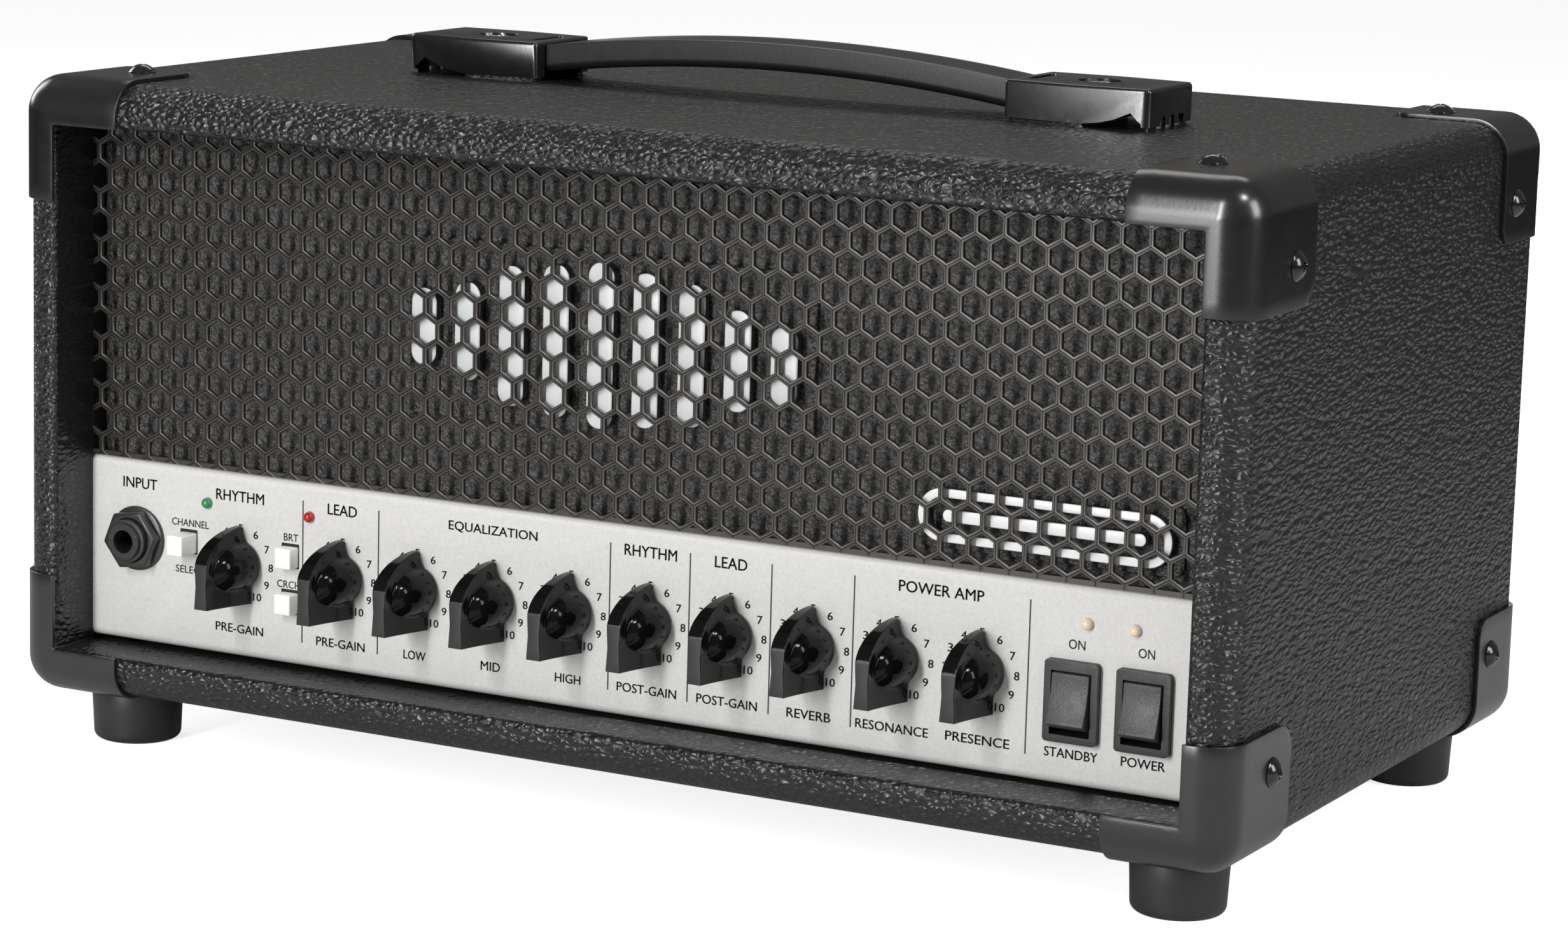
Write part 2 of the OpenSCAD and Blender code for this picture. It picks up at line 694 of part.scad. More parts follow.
module reverb_knob() { knob(7); }
module resonance_knob() { knob(8); }
module presence_knob() { knob(9); }

// Circuit board on spacers under the chassis top, with its larger components
module circuit_board() {
    color("#2f5b3a") translate([-chassis_w / 2 + 8, -60, board_z]) cube([chassis_w - 16, 120, 1.6]);
}
module board_components() {
    z = board_z + 1.6;
    color("#30343c") for (i = [0 : 4]) translate([-140 + i * 16, -36, z]) cylinder(r = 6.4, h = 24);
    color("#b08b3c") for (i = [0 : 6]) translate([-40 + i * 18, -38, z]) cube([12, 6, 11]);
    color("#b8b8ba") for (i = [0 : 2]) translate([100 + i * 18, -30, z]) cube([9, 9, 14]);
    color("#c8b089") for (i = [0 : 5]) translate([-60 + i * 14, 0, z]) cube([4, 12, 4]);
}

// Valves: glass envelopes with a round top, each in a chassis socket
module valve(x, l) {
    translate([x, valve_y, chassis_top + socket_h]) {
        cylinder(r = valve_r, h = l - valve_r * 0.7);
        translate([0, 0, l - valve_r * 0.7]) intersection() {
            sphere(valve_r);
            translate([0, 0, valve_r / 2]) cube([3 * valve_r, 3 * valve_r, valve_r], center = true);
        }
        translate([0, 0, l - 2]) cylinder(r = 1.6, h = 6);
    }
}
module preamp_valves() { color("#b9c4c8") for (x = preamp_x) valve(x, preamp_l); }
module power_valves() { color("#b9c4c8") for (x = power_x) valve(x, power_l); }
module valve_sockets() {
    color("#d9d3c4") for (x = concat(preamp_x, power_x)) translate([x, valve_y, chassis_top]) {
        cylinder(r = 11.2, h = socket_h);
        translate([0, 0, -6]) cylinder(r = 8, h = 7);
    }
}

// Transformers: laminated core standing on end bells, with the winding between
module transformer(x, y, w, d, h) {
    translate([x, y, chassis_top]) {
        difference() {
            translate([-w / 2, -d / 2, 0]) cube([w, d, h]);
            for (sx = [-1, 1], sz = [0, 1])
                translate([sx * (w / 2 - 4), 0, sz ? h - 4 : 4]) rotate([90, 0, 0])
                    cylinder(r = 1.9, h = d + 2, center = true);
        }
        for (sy = [-1, 1]) translate([0, sy * (d / 2 + 5), h / 2])
            rotate([90, 0, 0]) linear_extrude(height = 10, center = true) round_rect(w - 16, h - 14, 5);
    }
}
module mains_transformer() { color("#3c3d40") transformer(pt_x, 10, 66, 40, 68); }
module output_transformer() { color("#3c3d40") transformer(ot_x, 10, 42, 30, 48); }

// Rear: vented cover above, plain connection panel below
module rear_vent() {
    color("#232324") translate([0, rear_panel_y + grille_t, 0]) rotate([90, 0, 0])
        linear_extrude(height = grille_t) difference() {
            translate([-grille_w / 2, grille_z]) square([grille_w, grille_h]);
            for (row = [0 : 5], col = [-8 : 8]) translate([col * 18, grille_z + 16 + row * 12])
                round_rect(12, 5, 2.45);
            for (sx = [-1, 1], z = [grille_z + 6, grille_z + grille_h - 6])
                translate([sx * 160, z]) circle(2);
        }
}
module rear_panel() {
    color("#2b2b2d") difference() {
        box_y(0, rear_panel_y, open_z + panel_gap + (panel_top - panel_gap) / 2,
            panel_w, grille_t, panel_top - panel_gap);
        for (x = rear_jack_x) cyl_y(x, rear_panel_y - 3, rear_z, 6.1, 6);
        box_y(inlet_x, rear_panel_y - 3, rear_z, 28.2, 6, 20.2);
        cyl_y(fuse_x, rear_panel_y - 3, rear_z, 6.6, 6);
    }
}
// Mains inlet: a three-pin socket with a flange
module mains_inlet() {
    y1 = rear_panel_y + grille_t;
    color("#1a1a1a") difference() {
        union() {
            box_y(inlet_x, y1, rear_z, 50, 2, 22.5);
            box_y(inlet_x, y1 - 20, rear_z, 28, 20.5, 20);
        }
        box_y(inlet_x, y1 - 16, rear_z, 24.4, 30, 16.4);
        for (s = [-1, 1]) cyl_y(inlet_x + s * 20, y1 - 1, rear_z, 1.7, 5);
    }
    color("#b8b8b8") for (p = [[-7, -1.5], [0, 2.5], [7, -1.5]])
        box_y(inlet_x + p[0], y1 - 17, rear_z + p[1], 2, 13, 4);
}
module fuse_holder() {
    y1 = rear_panel_y + grille_t;
    color("#161616") {
        cyl_y(fuse_x, y1 - 30, rear_z, 6.4, 31);
        cyl_y(fuse_x, y1, rear_z, 8.5, 2.2);
        difference() {
            cyl_y(fuse_x, y1 + 1, rear_z, 6.2, 8);
            box_y(fuse_x, y1 + 7.6, rear_z, 1.4, 3, 9);
        }
    }
}
module rear_jacks() {
    color("#2c2c2c") for (x = rear_jack_x) jack(x, rear_panel_y + grille_t, rear_z, 1);
}
module rear_jack_nuts() {
    color("#9a9a9a") for (x = rear_jack_x) jack_nut(x, rear_panel_y + grille_t, rear_z, 1, 8, 1, 2.4);
}

// Screws up through the bottom board into the chassis feet
module chassis_screws() {
    color("#4a4a4a") at_chassis_screws() translate([0, 0, base_z + cover_t - 2.6]) {
        cylinder(r = chassis_screw_head_r, h = 2.6);
        cylinder(r = chassis_screw_r, h = 2.6 + wall - cover_t + 8);
    }
}

top_board();
bottom_board();
left_board();
right_board();
covering();
front_corner_protectors();
rear_corner_protectors();
corner_screws();
rubber_feet();
foot_screws();
handle_strap();
handle_cap_left();
handle_cap_right();
handle_screws();
front_grille();
grille_backing();
front_emblem();
badge();
chassis();
control_panel();
input_jack();
input_jack_nut();
rhythm_led();
lead_led();
valve_status_leds();
push_switches();
standby_frame();
power_frame();
potentiometers();
circuit_board();
board_components();
preamp_valves();
power_valves();
valve_sockets();
mains_transformer();
output_transformer();
rear_vent();
rear_panel();
mains_inlet();
fuse_holder();
rear_jacks();
rear_jack_nuts();
chassis_screws();
rhythm_gain_knob();
lead_gain_knob();
low_knob();
mid_knob();
high_knob();
rhythm_level_knob();
lead_level_knob();
reverb_knob();
resonance_knob();
presence_knob();
channel_button();
bright_button();
crunch_button();
standby_rocker();
power_rocker();
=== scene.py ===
import math
import bpy
import bmesh
from mathutils import Matrix, Vector


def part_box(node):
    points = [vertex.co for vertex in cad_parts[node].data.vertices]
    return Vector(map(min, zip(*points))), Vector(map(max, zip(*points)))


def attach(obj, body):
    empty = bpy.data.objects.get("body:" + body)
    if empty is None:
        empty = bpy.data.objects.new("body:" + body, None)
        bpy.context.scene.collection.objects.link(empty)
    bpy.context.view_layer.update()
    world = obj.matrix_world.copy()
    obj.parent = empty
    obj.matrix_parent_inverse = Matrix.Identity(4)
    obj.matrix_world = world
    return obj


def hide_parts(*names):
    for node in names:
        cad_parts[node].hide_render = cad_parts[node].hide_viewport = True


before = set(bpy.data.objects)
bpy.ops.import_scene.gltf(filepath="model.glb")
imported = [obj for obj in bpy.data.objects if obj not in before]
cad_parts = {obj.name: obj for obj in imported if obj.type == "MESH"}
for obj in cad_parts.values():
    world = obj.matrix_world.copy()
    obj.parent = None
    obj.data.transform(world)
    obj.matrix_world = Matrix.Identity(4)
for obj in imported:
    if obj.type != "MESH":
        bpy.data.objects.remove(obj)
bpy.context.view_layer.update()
scene = bpy.context.scene
scene.view_settings.view_transform = "Standard"
MM = 0.001
CAB = "cabinet"
HERE = Matrix.Identity(4)
BLACK_END = -0.055  # the boards are black in front of this y
PEBBLES = 540.0  # pebbles of the covering to a metre
CAMERA_PLACE = Vector((0.575083, -1.084558, 0.307422))
CAMERA_ANGLES = (27.85, 10.463, 1.654)  # azimuth, elevation, roll in degrees


# ---------------------------------------------------------------- camera
def look_matrix(azimuth, elevation, roll, place):
    """A camera's matrix from its viewing angles in degrees and its place."""
    a, e, r = (math.radians(v) for v in (azimuth, elevation, roll))
    back = Vector((math.sin(a) * math.cos(e), -math.cos(a) * math.cos(e), math.sin(e)))
    right = Vector((math.cos(a), math.sin(a), 0))
    up = back.cross(right)
    right, up = right * math.cos(r) + up * math.sin(r), up * math.cos(r) - right * math.sin(r)
    return Matrix.Translation(place) @ Matrix((right, up, back)).transposed().to_4x4()


camera = bpy.data.objects.new("camera", bpy.data.cameras.new("camera"))
scene.collection.objects.link(camera)
camera.data.sensor_width = 36
camera.data.lens = 102.95
camera.data.clip_end = 50
camera.matrix_world = look_matrix(*CAMERA_ANGLES, CAMERA_PLACE)
scene.camera = camera


# ---------------------------------------------------------------- materials
class Nodes:
    """A material under construction: a few node helpers around one Principled shader."""

    def __init__(self, name):
        self.mat = bpy.data.materials.new(name)
        self.mat.use_nodes = True
        self.tree = self.mat.node_tree
        self.shader = self.tree.nodes["Principled BSDF"]
        self.coords = self.add("ShaderNodeTexCoord").outputs["Object"]
        self.normal = None

    def add(self, kind, **values):
        node = self.tree.nodes.new(kind)
        for key, value in values.items():
            if hasattr(node, key):
                setattr(node, key, value)
            else:
                node.inputs[key.replace("_", " ")].default_value = value
        return node

    def link(self, a, b):
        self.tree.links.new(a, b)

    def stretched(self, x, y, z):
        node = self.add("ShaderNodeMapping")
        node.inputs["Scale"].default_value = (x, y, z)
        self.link(self.coords, node.inputs["Vector"])
        return node.outputs["Vector"]

    def noise(self, scale, detail=3.0, roughness=0.55, coords=None):
        node = self.add("ShaderNodeTexNoise", Scale=scale, Detail=detail, Roughness=roughness)
        self.link(coords or self.coords, node.inputs["Vector"])
        return node.outputs["Fac"]

    def range(self, value, low, high, start=0.3, end=0.7):
        node = self.add("ShaderNodeMapRange", clamp=True)
        for key, v in (("From Min", start), ("From Max", end), ("To Min", low), ("To Max", high)):
            node.inputs[key].default_value = v
        self.link(value, node.inputs["Value"])
        return node.outputs["Result"]

    def math(self, kind, a, b=None):
        node = self.add("ShaderNodeMath", operation=kind)
        for i, v in enumerate((a, b)):
            if v is None:
                continue
            if isinstance(v, (int, float)):
                node.inputs[i].default_value = v
            else:
                self.link(v, node.inputs[i])
        return node.outputs["Value"]

    def mix(self, value, low, high):
        node = self.add("ShaderNodeMix", data_type="RGBA")
        self.link(value, node.inputs["Factor"])
        node.inputs[6].default_value = (*low, 1)
        node.inputs[7].default_value = (*high, 1)
        return node.outputs[2]

    def bump(self, height, distance, strength=1.0):
        node = self.add("ShaderNodeBump", Distance=distance, Strength=strength)
        self.link(height, node.inputs["Height"])
        if self.normal:
            self.link(self.normal, node.inputs["Normal"])
        self.normal = node.outputs["Normal"]
        self.link(self.normal, self.shader.inputs["Normal"])

    def set(self, **values):
        for key, value in values.items():
            socket = self.shader.inputs[key.replace("_", " ")]
            if isinstance(value, bpy.types.NodeSocket):
                self.link(value, socket)
            else:
                socket.default_value = value
        return self.mat


def shade(rgb, factor):
    return tuple(c * factor for c in rgb)


def plain(name, rgb, rough, metallic=0.0, spread=0.12, scale=90.0, grain=900.0, grain_depth=0.00002,
          rough_spread=0.06, **extra):
    """A plastic or metal finish: soft blotches in colour and roughness, and a fine grain."""
    n = Nodes(name)
    blotch = n.noise(scale, 4)
    n.bump(n.noise(grain, 3), grain_depth)
    return n.set(
        Base_Color=n.mix(n.range(blotch, 0, 1), shade(rgb, 1 - spread), shade(rgb, 1 + spread)),
        Roughness=n.range(n.noise(scale * 2.3, 3), rough - rough_spread, rough + rough_spread),
        Metallic=metallic, **extra)


def tolex():
    """Black pebbled vinyl: smooth domed pebbles, longer sideways than tall, with creases between them that
    are darkened with painted shade.
    """
    n = Nodes("tolex")
    laid = n.stretched(0.9, 0.52, 1.25)
    wobble = n.add("ShaderNodeTexNoise", Scale=210.0, Detail=1.0)
    n.link(laid, wobble.inputs["Vector"])
    drift = n.add("ShaderNodeVectorMath", operation="SCALE")
    drift.inputs["Scale"].default_value = 0.0028
    n.link(wobble.outputs["Color"], drift.inputs[0])
    moved = n.add("ShaderNodeVectorMath", operation="ADD")
    n.link(laid, moved.inputs[0])
    n.link(drift.outputs[0], moved.inputs[1])
    cells = n.add("ShaderNodeTexVoronoi", feature="DISTANCE_TO_EDGE", Scale=PEBBLES)
    n.link(moved.outputs[0], cells.inputs["Vector"])
    crease = n.range(cells.outputs["Distance"], 0, 1, 0.0, 0.3)
    dome = n.add("ShaderNodeTexVoronoi", feature="SMOOTH_F1", Scale=PEBBLES, Smoothness=0.7)
    n.link(moved.outputs[0], dome.inputs["Vector"])
    swell = n.range(dome.outputs["Distance"], 1, 0, 0.0, 0.9)
    n.bump(n.math("ADD", n.math("MULTIPLY", crease, 0.22), swell), 0.00058)
    # painted shade: the creases get a darker base colour than the tops of the pebbles
    tone = n.mix(crease, (0.003, 0.003, 0.0032), (0.012, 0.0118, 0.0122))
    return n.set(Base_Color=tone, Roughness=n.range(crease, 0.45, 0.26, 0, 1), Specular_IOR_Level=0.6)


def wrinkle():
    """Black wrinkle paint: fine crumpled relief whose facets glint."""
    n = Nodes("wrinkle_paint")
    cells = n.add("ShaderNodeTexVoronoi", feature="F1", Scale=1300.0)
    n.link(n.coords, cells.inputs["Vector"])
    n.bump(cells.outputs["Distance"], 0.0005)
    n.bump(n.noise(2400, 3), 0.0002)
    tone = n.mix(n.range(n.noise(1100, 3), 0, 1), (0.016, 0.0155, 0.0155), (0.125, 0.122, 0.118))
    return n.set(Base_Color=tone, Roughness=0.3)


def satin_panel():
    """Light satin sheet with a fine sideways grain."""
    n = Nodes("panel_satin")
    lines = n.noise(60, 5, 0.7, n.stretched(0.12, 1, 30))
    n.bump(lines, 0.00002)
    grain = n.noise(1300, 3, 0.65)
    both = n.math("ADD", n.math("MULTIPLY", lines, 0.2), n.math("MULTIPLY", grain, 0.8))
    tone = n.mix(n.range(both, 0, 1), (0.56, 0.556, 0.54), (0.66, 0.656, 0.64))
    return n.set(Base_Color=tone, Roughness=n.range(grain, 0.5, 0.62), Specular_IOR_Level=0.35)


def wood():
    """Plywood, black where it shows behind the front edge."""
    n = Nodes("plywood")
    rings = n.noise(14, 6, 0.6, n.stretched(0.4, 4, 9))
    n.bump(n.noise(90, 5, 0.6, n.stretched(0.2, 3, 8)), 0.0002)
    bare = n.mix(n.range(rings, 0, 1), (0.28, 0.17, 0.08), (0.5, 0.35, 0.2))
    axes = n.add("ShaderNodeSeparateXYZ")
    n.link(n.coords, axes.inputs[0])
    inside = n.range(axes.outputs["Y"], 0, 1, BLACK_END, BLACK_END + 0.002)
    front_black = n.add("ShaderNodeMix", data_type="RGBA")
    front_black.inputs[6].default_value = (0.008, 0.008, 0.008, 1)
    n.link(inside, front_black.inputs["Factor"])
    n.link(bare, front_black.inputs[7])
    return n.set(Base_Color=front_black.outputs[2], Roughness=0.7)


def glass():
    n = Nodes("valve_glass")
    return n.set(Base_Color=(0.92, 0.95, 0.96, 1), Transmission_Weight=0.95, IOR=1.3,
                 Roughness=n.range(n.noise(120, 2), 0.01, 0.05))


def lamp(name, rgb):
    n = Nodes(name)
    tone = n.mix(n.range(n.noise(500, 2), 0, 1), shade(rgb, 0.85), rgb)
    return n.set(Base_Color=tone, Roughness=0.07, Coat_Weight=0.5)


M = {
    "covering": tolex(),
    "backing": wrinkle(),
    "panel": satin_panel(),
    "board": wood(),
    "valve_glass": glass(),
    "protector": plain("protector_paint", (0.011, 0.0107, 0.0103), 0.25, 0.0, 0.08, 140, 1200, 0.000015,
                       0.02, Specular_IOR_Level=0.8),
    "black_screw": plain("screw_black", (0.012, 0.012, 0.012), 0.16, 0.0, 0.1, Coat_Weight=0.4),
    "foot_rubber": plain("foot_rubber", (0.019, 0.0185, 0.018), 0.42, 0.0, 0.12, 120, 1100, 0.00002, 0.03),
    "zinc": plain("zinc_plate", (0.5, 0.49, 0.46), 0.3, 1.0, 0.12, 260, 1500, 0.00002),
    "strap": plain("strap_rubber", (0.0095, 0.009, 0.0088), 0.36, 0.0, 0.1, 100, 1300, 0.00002, 0.03),
    "handle_cap": plain("cap_satin", (0.009, 0.0087, 0.0084), 0.22, 0.0, 0.08, 120, 1300, 0.000012, 0.02,
                        Specular_IOR_Level=0.9),
    "grille": plain("grille_paint", (0.042, 0.037, 0.033), 0.33, 0.3, 0.1, 150, 1300, 0.00002, 0.03,
                    Specular_IOR_Level=0.8),
    "emblem_face": plain("emblem_face", (0.62, 0.63, 0.63), 0.3, 0.0, 0.04, 80, 900, 0.00001),
    "badge_face": plain("badge_face", (0.8, 0.8, 0.8), 0.25, 0.0, 0.03, 80, 900, 0.00001),
    "gloss_dark": plain("gloss_dark", (0.02, 0.02, 0.022), 0.12, 0.0, 0.1, Coat_Weight=0.5),
    "carrier": wrinkle(),
    "chassis": plain("chassis_steel", (0.55, 0.55, 0.54), 0.35, 1.0, 0.08, 60),
    "black_plastic": plain("black_plastic", (0.022, 0.022, 0.023), 0.45, 0.0, 0.15, 120, 1600, 0.00005),
    "jack_black": plain("jack_black", (0.05, 0.05, 0.05), 0.3, 0.45, 0.1, 120, 1200, 0.00001, 0.04),
    "knob": plain("knob_gloss", (0.005, 0.005, 0.0052), 0.1, 0.0, 0.15, 150, 900, 0.000006, 0.03,
                  Specular_IOR_Level=0.2),
    "button": plain("button_white", (0.86, 0.86, 0.84), 0.22, 0.0, 0.02, 80, 700, 0.00001),
    "rocker": plain("rocker_matt", (0.05, 0.048, 0.047), 0.45, 0.0, 0.12, 120, 1700, 0.00012),
    "knob_face": plain("knob_face", (0.02, 0.0195, 0.0195), 0.4, 0.0, 0.1, 200, 1500, 0.00001, 0.03),
    "pot_metal": plain("pot_metal", (0.55, 0.55, 0.55), 0.28, 1.0, 0.1),
    "pcb": plain("pcb_green", (0.03, 0.11, 0.05), 0.4, 0.0, 0.3, 300),
    "components": plain("components", (0.06, 0.07, 0.1), 0.4, 0.0, 0.3, 60),
    "ceramic": plain("ceramic", (0.72, 0.69, 0.62), 0.4, 0.0, 0.05, 90),
    "transformer": plain("transformer_dip", (0.045, 0.045, 0.05), 0.45, 0.3, 0.25, 200, 500, 0.0002),
    "rear_metal": plain("rear_paint", (0.03, 0.03, 0.032), 0.45, 0.1, 0.12, 150, 1500, 0.00012),
    "nut_metal": plain("nut_metal", (0.62, 0.62, 0.62), 0.2, 1.0, 0.06, 200),
    "led_green": lamp("lamp_green", (0.035, 0.26, 0.09)),
    "led_red": lamp("lamp_red", (0.42, 0.012, 0.016)),
    "led_clear": lamp("lamp_clear", (0.93, 0.74, 0.60)),
    "print_dark": plain("print_dark", (0.028, 0.028, 0.029), 0.5, 0.0, 0.2, 400),
    "print_grey": plain("print_grey", (0.13, 0.13, 0.125), 0.5, 0.0, 0.2, 400),
    # painted shade: black for the sheets that stand for the gaps round the button caps
    "hole": plain("painted_slot_shade", (0.004, 0.004, 0.004), 0.6),
    "electrode": plain("electrode", (0.12, 0.12, 0.12), 0.4, 0.8, 0.2),
}


# ---------------------------------------------------------------- mesh helpers
def link_piece(name, mesh, slot, body=CAB, replaces=(), mats=None, place=None):
    """Puts a mesh in the scene as a piece that rides on a body."""
    obj = bpy.data.objects.new(name, mesh)
    scene.collection.objects.link(obj)
    if place is not None:
        obj.matrix_world = place
    if not mesh.materials:
        for key in mats or (slot,):
            mesh.materials.append(M[key])
    if replaces:
        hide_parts(*replaces)
    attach(obj, body)
    return obj


def from_bm(bm, name, angle=35.0):
    """A smooth shaded mesh from a bmesh, with edges sharper than the angle kept sharp."""
    bmesh.ops.recalc_face_normals(bm, faces=bm.faces)
    mesh = bpy.data.meshes.new(name)
    bm.to_mesh(mesh)
    bm.free()
    mesh.shade_smooth()
    mesh.set_sharp_from_angle(angle=math.radians(angle))
    return mesh


def baked(mesh, *modifiers, cutters=(), angle=35.0):
    """The mesh after some modifiers: each is (type, {setting: value}). Cutters are cut away first."""
    obj = bpy.data.objects.new("work", mesh)
    scene.collection.objects.link(obj)
    spare = []
    for cutter in cutters:
        c = bpy.data.objects.new("cutter", cutter)
        scene.collection.objects.link(c)
        c.hide_render = True
        spare.append(c)
        cut = obj.modifiers.new("cut", "BOOLEAN")
        cut.operation, cut.object, cut.solver = "DIFFERENCE", c, "EXACT"
    for kind, settings in modifiers:
        mod = obj.modifiers.new(kind.lower(), kind)
        for key, value in settings.items():
            setattr(mod, key, value)
    graph = bpy.context.evaluated_depsgraph_get()
    result = bpy.data.meshes.new_from_object(obj.evaluated_get(graph))
    for o in [obj, *spare]:
        bpy.data.objects.remove(o)
    result.shade_smooth()
    result.set_sharp_from_angle(angle=math.radians(angle))
    return result


def edge_bevel(width, segments=2, angle=35.0):
    return ("BEVEL", {"width": width, "segments": segments, "limit_method": "ANGLE",
                      "angle_limit": math.radians(angle), "use_clamp_overlap": True})


WEIGHTED = ("WEIGHTED_NORMAL", {"keep_sharp": True, "weight": 60})


def quarter(steps, first=0):
    """Angles from 0 to a right angle in even steps."""
    return [math.pi / 2 * k / steps for k in range(first, steps + 1)]


def band(bm, rings):
    """Faces between each ring of vertices and the next, right round."""
    n = len(rings[0])
    for a, b in zip(rings, rings[1:]):
        for i in range(n):
            bm.faces.new([a[i], a[(i + 1) % n], b[(i + 1) % n], b[i]])


def sheet(w, h, name="bar"):
    """One flat face, centred on the origin."""
    bm = bmesh.new()
    bm.faces.new([bm.verts.new((x * w / 2, y * h / 2, 0)) for x, y in ((-1, -1), (1, -1), (1, 1), (-1, 1))])
    mesh = bpy.data.meshes.new(name)
    bm.to_mesh(mesh)
    bm.free()
    return mesh


def lathe(profile, steps=48, name="lathe", angle=35.0):
    """A turned shape about +Z from (radius, height) points, closed where they start and end on the axis."""
    bm = bmesh.new()
    rings = []
    for r, z in profile:
        turns = [2 * math.pi * i / steps for i in range(steps if r > 1e-7 else 1)]
        rings.append([bm.verts.new((r * math.cos(a), r * math.sin(a), z)) for a in turns])
    for a, b in zip(rings, rings[1:]):
        for i in range(steps):
            j = (i + 1) % steps
            corners = [a[i % len(a)], a[j % len(a)], b[j % len(b)], b[i % len(b)]]
            unique = list(dict.fromkeys(corners))
            if len(unique) > 2:
                bm.faces.new(unique)
    return from_bm(bm, name, angle)


def prism(outline, low, high, name="prism", axis="z"):
    """A straight solid over an outline, which lies across the given axis."""
    bm = bmesh.new()
    slot = "xyz".index(axis)
    ends = [[bm.verts.new((*p[:slot], level, *p[slot:])) for p in outline] for level in (low, high)]
    bm.faces.new(ends[0])
    bm.faces.new(list(reversed(ends[1])))
    band(bm, ends)
    return from_bm(bm, name)


def rounded(w, h, r, cx=0.0, cy=0.0, steps=6):
    """Points of a rectangle with round corners."""
    points = []
    for k, (sx, sy) in enumerate(((1, 1), (-1, 1), (-1, -1), (1, -1))):
        for i in range(steps + 1):
            a = math.pi / 2 * (k + i / steps)
            points.append((cx + sx * (w / 2 - r) + r * math.cos(a), cy + sy * (h / 2 - r) + r * math.sin(a)))
    return points


def hexagon(r, turn=0.0):
    return [(r * math.cos(math.pi / 3 * k + turn), r * math.sin(math.pi / 3 * k + turn)) for k in range(6)]


def joined(name, parts):
    """One mesh from (mesh, matrix, material index) parts."""
    bm = bmesh.new()
    for mesh, matrix, index in parts:
        piece = bmesh.new()
        piece.from_mesh(mesh)
        piece.transform(matrix)
        if matrix.determinant() < 0:
            bmesh.ops.reverse_faces(piece, faces=piece.faces)
        if index is not None:
            for f in piece.faces:
                f.material_index = index
        spare = bpy.data.meshes.new("spare")
        piece.to_mesh(spare)
        piece.free()
        bm.from_mesh(spare)
        bpy.data.meshes.remove(spare)
    mesh = bpy.data.meshes.new(name)
    bm.to_mesh(mesh)
    bm.free()
    return mesh


def move(x, y, z):
    return Matrix.Translation((x, y, z))


def to_front():
    """Turns something modelled along +Z so that it points at -Y, with its +Y up."""
    return Matrix.Rotation(math.pi / 2, 4, "X")


def dress(node, key, bevel=0.0002):
    """Keeps a CAD node, with rounded edges and a procedural finish."""
    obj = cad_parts[node]
    obj.data.materials.clear()
    obj.data.materials.append(M[key])
    weld = obj.modifiers.new("weld", "WELD")
    weld.merge_threshold = 1e-6
    if bevel:
        mod = obj.modifiers.new("edges", "BEVEL")
        mod.width, mod.segments, mod.limit_method = bevel, 2, "ANGLE"
        mod.angle_limit = math.radians(35)
    else:
        obj.modifiers.new("split", "EDGE_SPLIT").split_angle = math.radians(25)
    normals = obj.modifiers.new("normals", "WEIGHTED_NORMAL")
    normals.weight = 60
    return obj


# ---------------------------------------------------------------- places taken from the frame
cov_lo, cov_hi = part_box("covering")
grille_lo, grille_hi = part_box("front_grille")
HX, HZ = cov_hi.x, (cov_hi.z - cov_lo.z) / 2
MID_Z = (cov_hi.z + cov_lo.z) / 2
FRONT, REAR, TOP, BASE = cov_lo.y, cov_hi.y, cov_hi.z, cov_lo.z
WALL = 0.0118
EDGE_R = 0.009
GUARD_T = 0.0012
PANEL_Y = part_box("control_panel")[0].y
OPEN_Z = BASE + WALL
REAR_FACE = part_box("rear_panel")[1].y


# ---------------------------------------------------------------- covering
def rect_ring(inset, radius):
    """The cabinet's outline on the x-z plane, moved inwards."""
    return rounded(2 * (HX - inset), 2 * (HZ - inset), radius, 0, MID_Z, 8)


def covering():
    lip = 0.0016
    loops = [(PANEL_Y + 0.0002, WALL, 0.0005)]
    for k, t in enumerate(quarter(4)):
        loops.append((FRONT + lip * (1 - math.sin(t)), WALL - lip * (1 - math.cos(t)), 0.0005 + lip * k / 8))
    loops.append((FRONT, EDGE_R + 0.0004, 0.0012))
    for t in quarter(12, 1):
        inset = EDGE_R * (1 - math.sin(t))
        loops.append((FRONT + EDGE_R * (1 - math.cos(t)), inset, max(EDGE_R - inset, 0.0012)))
    front = list(loops)
    loops += [(y, 0.0, EDGE_R) for y in (-0.06, 0.0, 0.06)]
    for y, inset, radius in reversed(front):
        loops.append((-y, inset, radius))
    loops[-1] = (REAR_FACE - 0.0002, WALL, 0.0005)
    loops += [(REAR_FACE - 0.0002, WALL - 0.001, 0.0005), (PANEL_Y + 0.0002, WALL - 0.001, 0.0005)]
    bm = bmesh.new()
    rings = [[bm.verts.new((x, y, z)) for x, z in rect_ring(inset, radius)] for y, inset, radius in loops]
    band(bm, rings + rings[:1])
    mesh = baked(from_bm(bm, "covering_skin", 60), WEIGHTED, angle=60)
    link_piece("tolex_covering", mesh, "covering", replaces=["covering"])


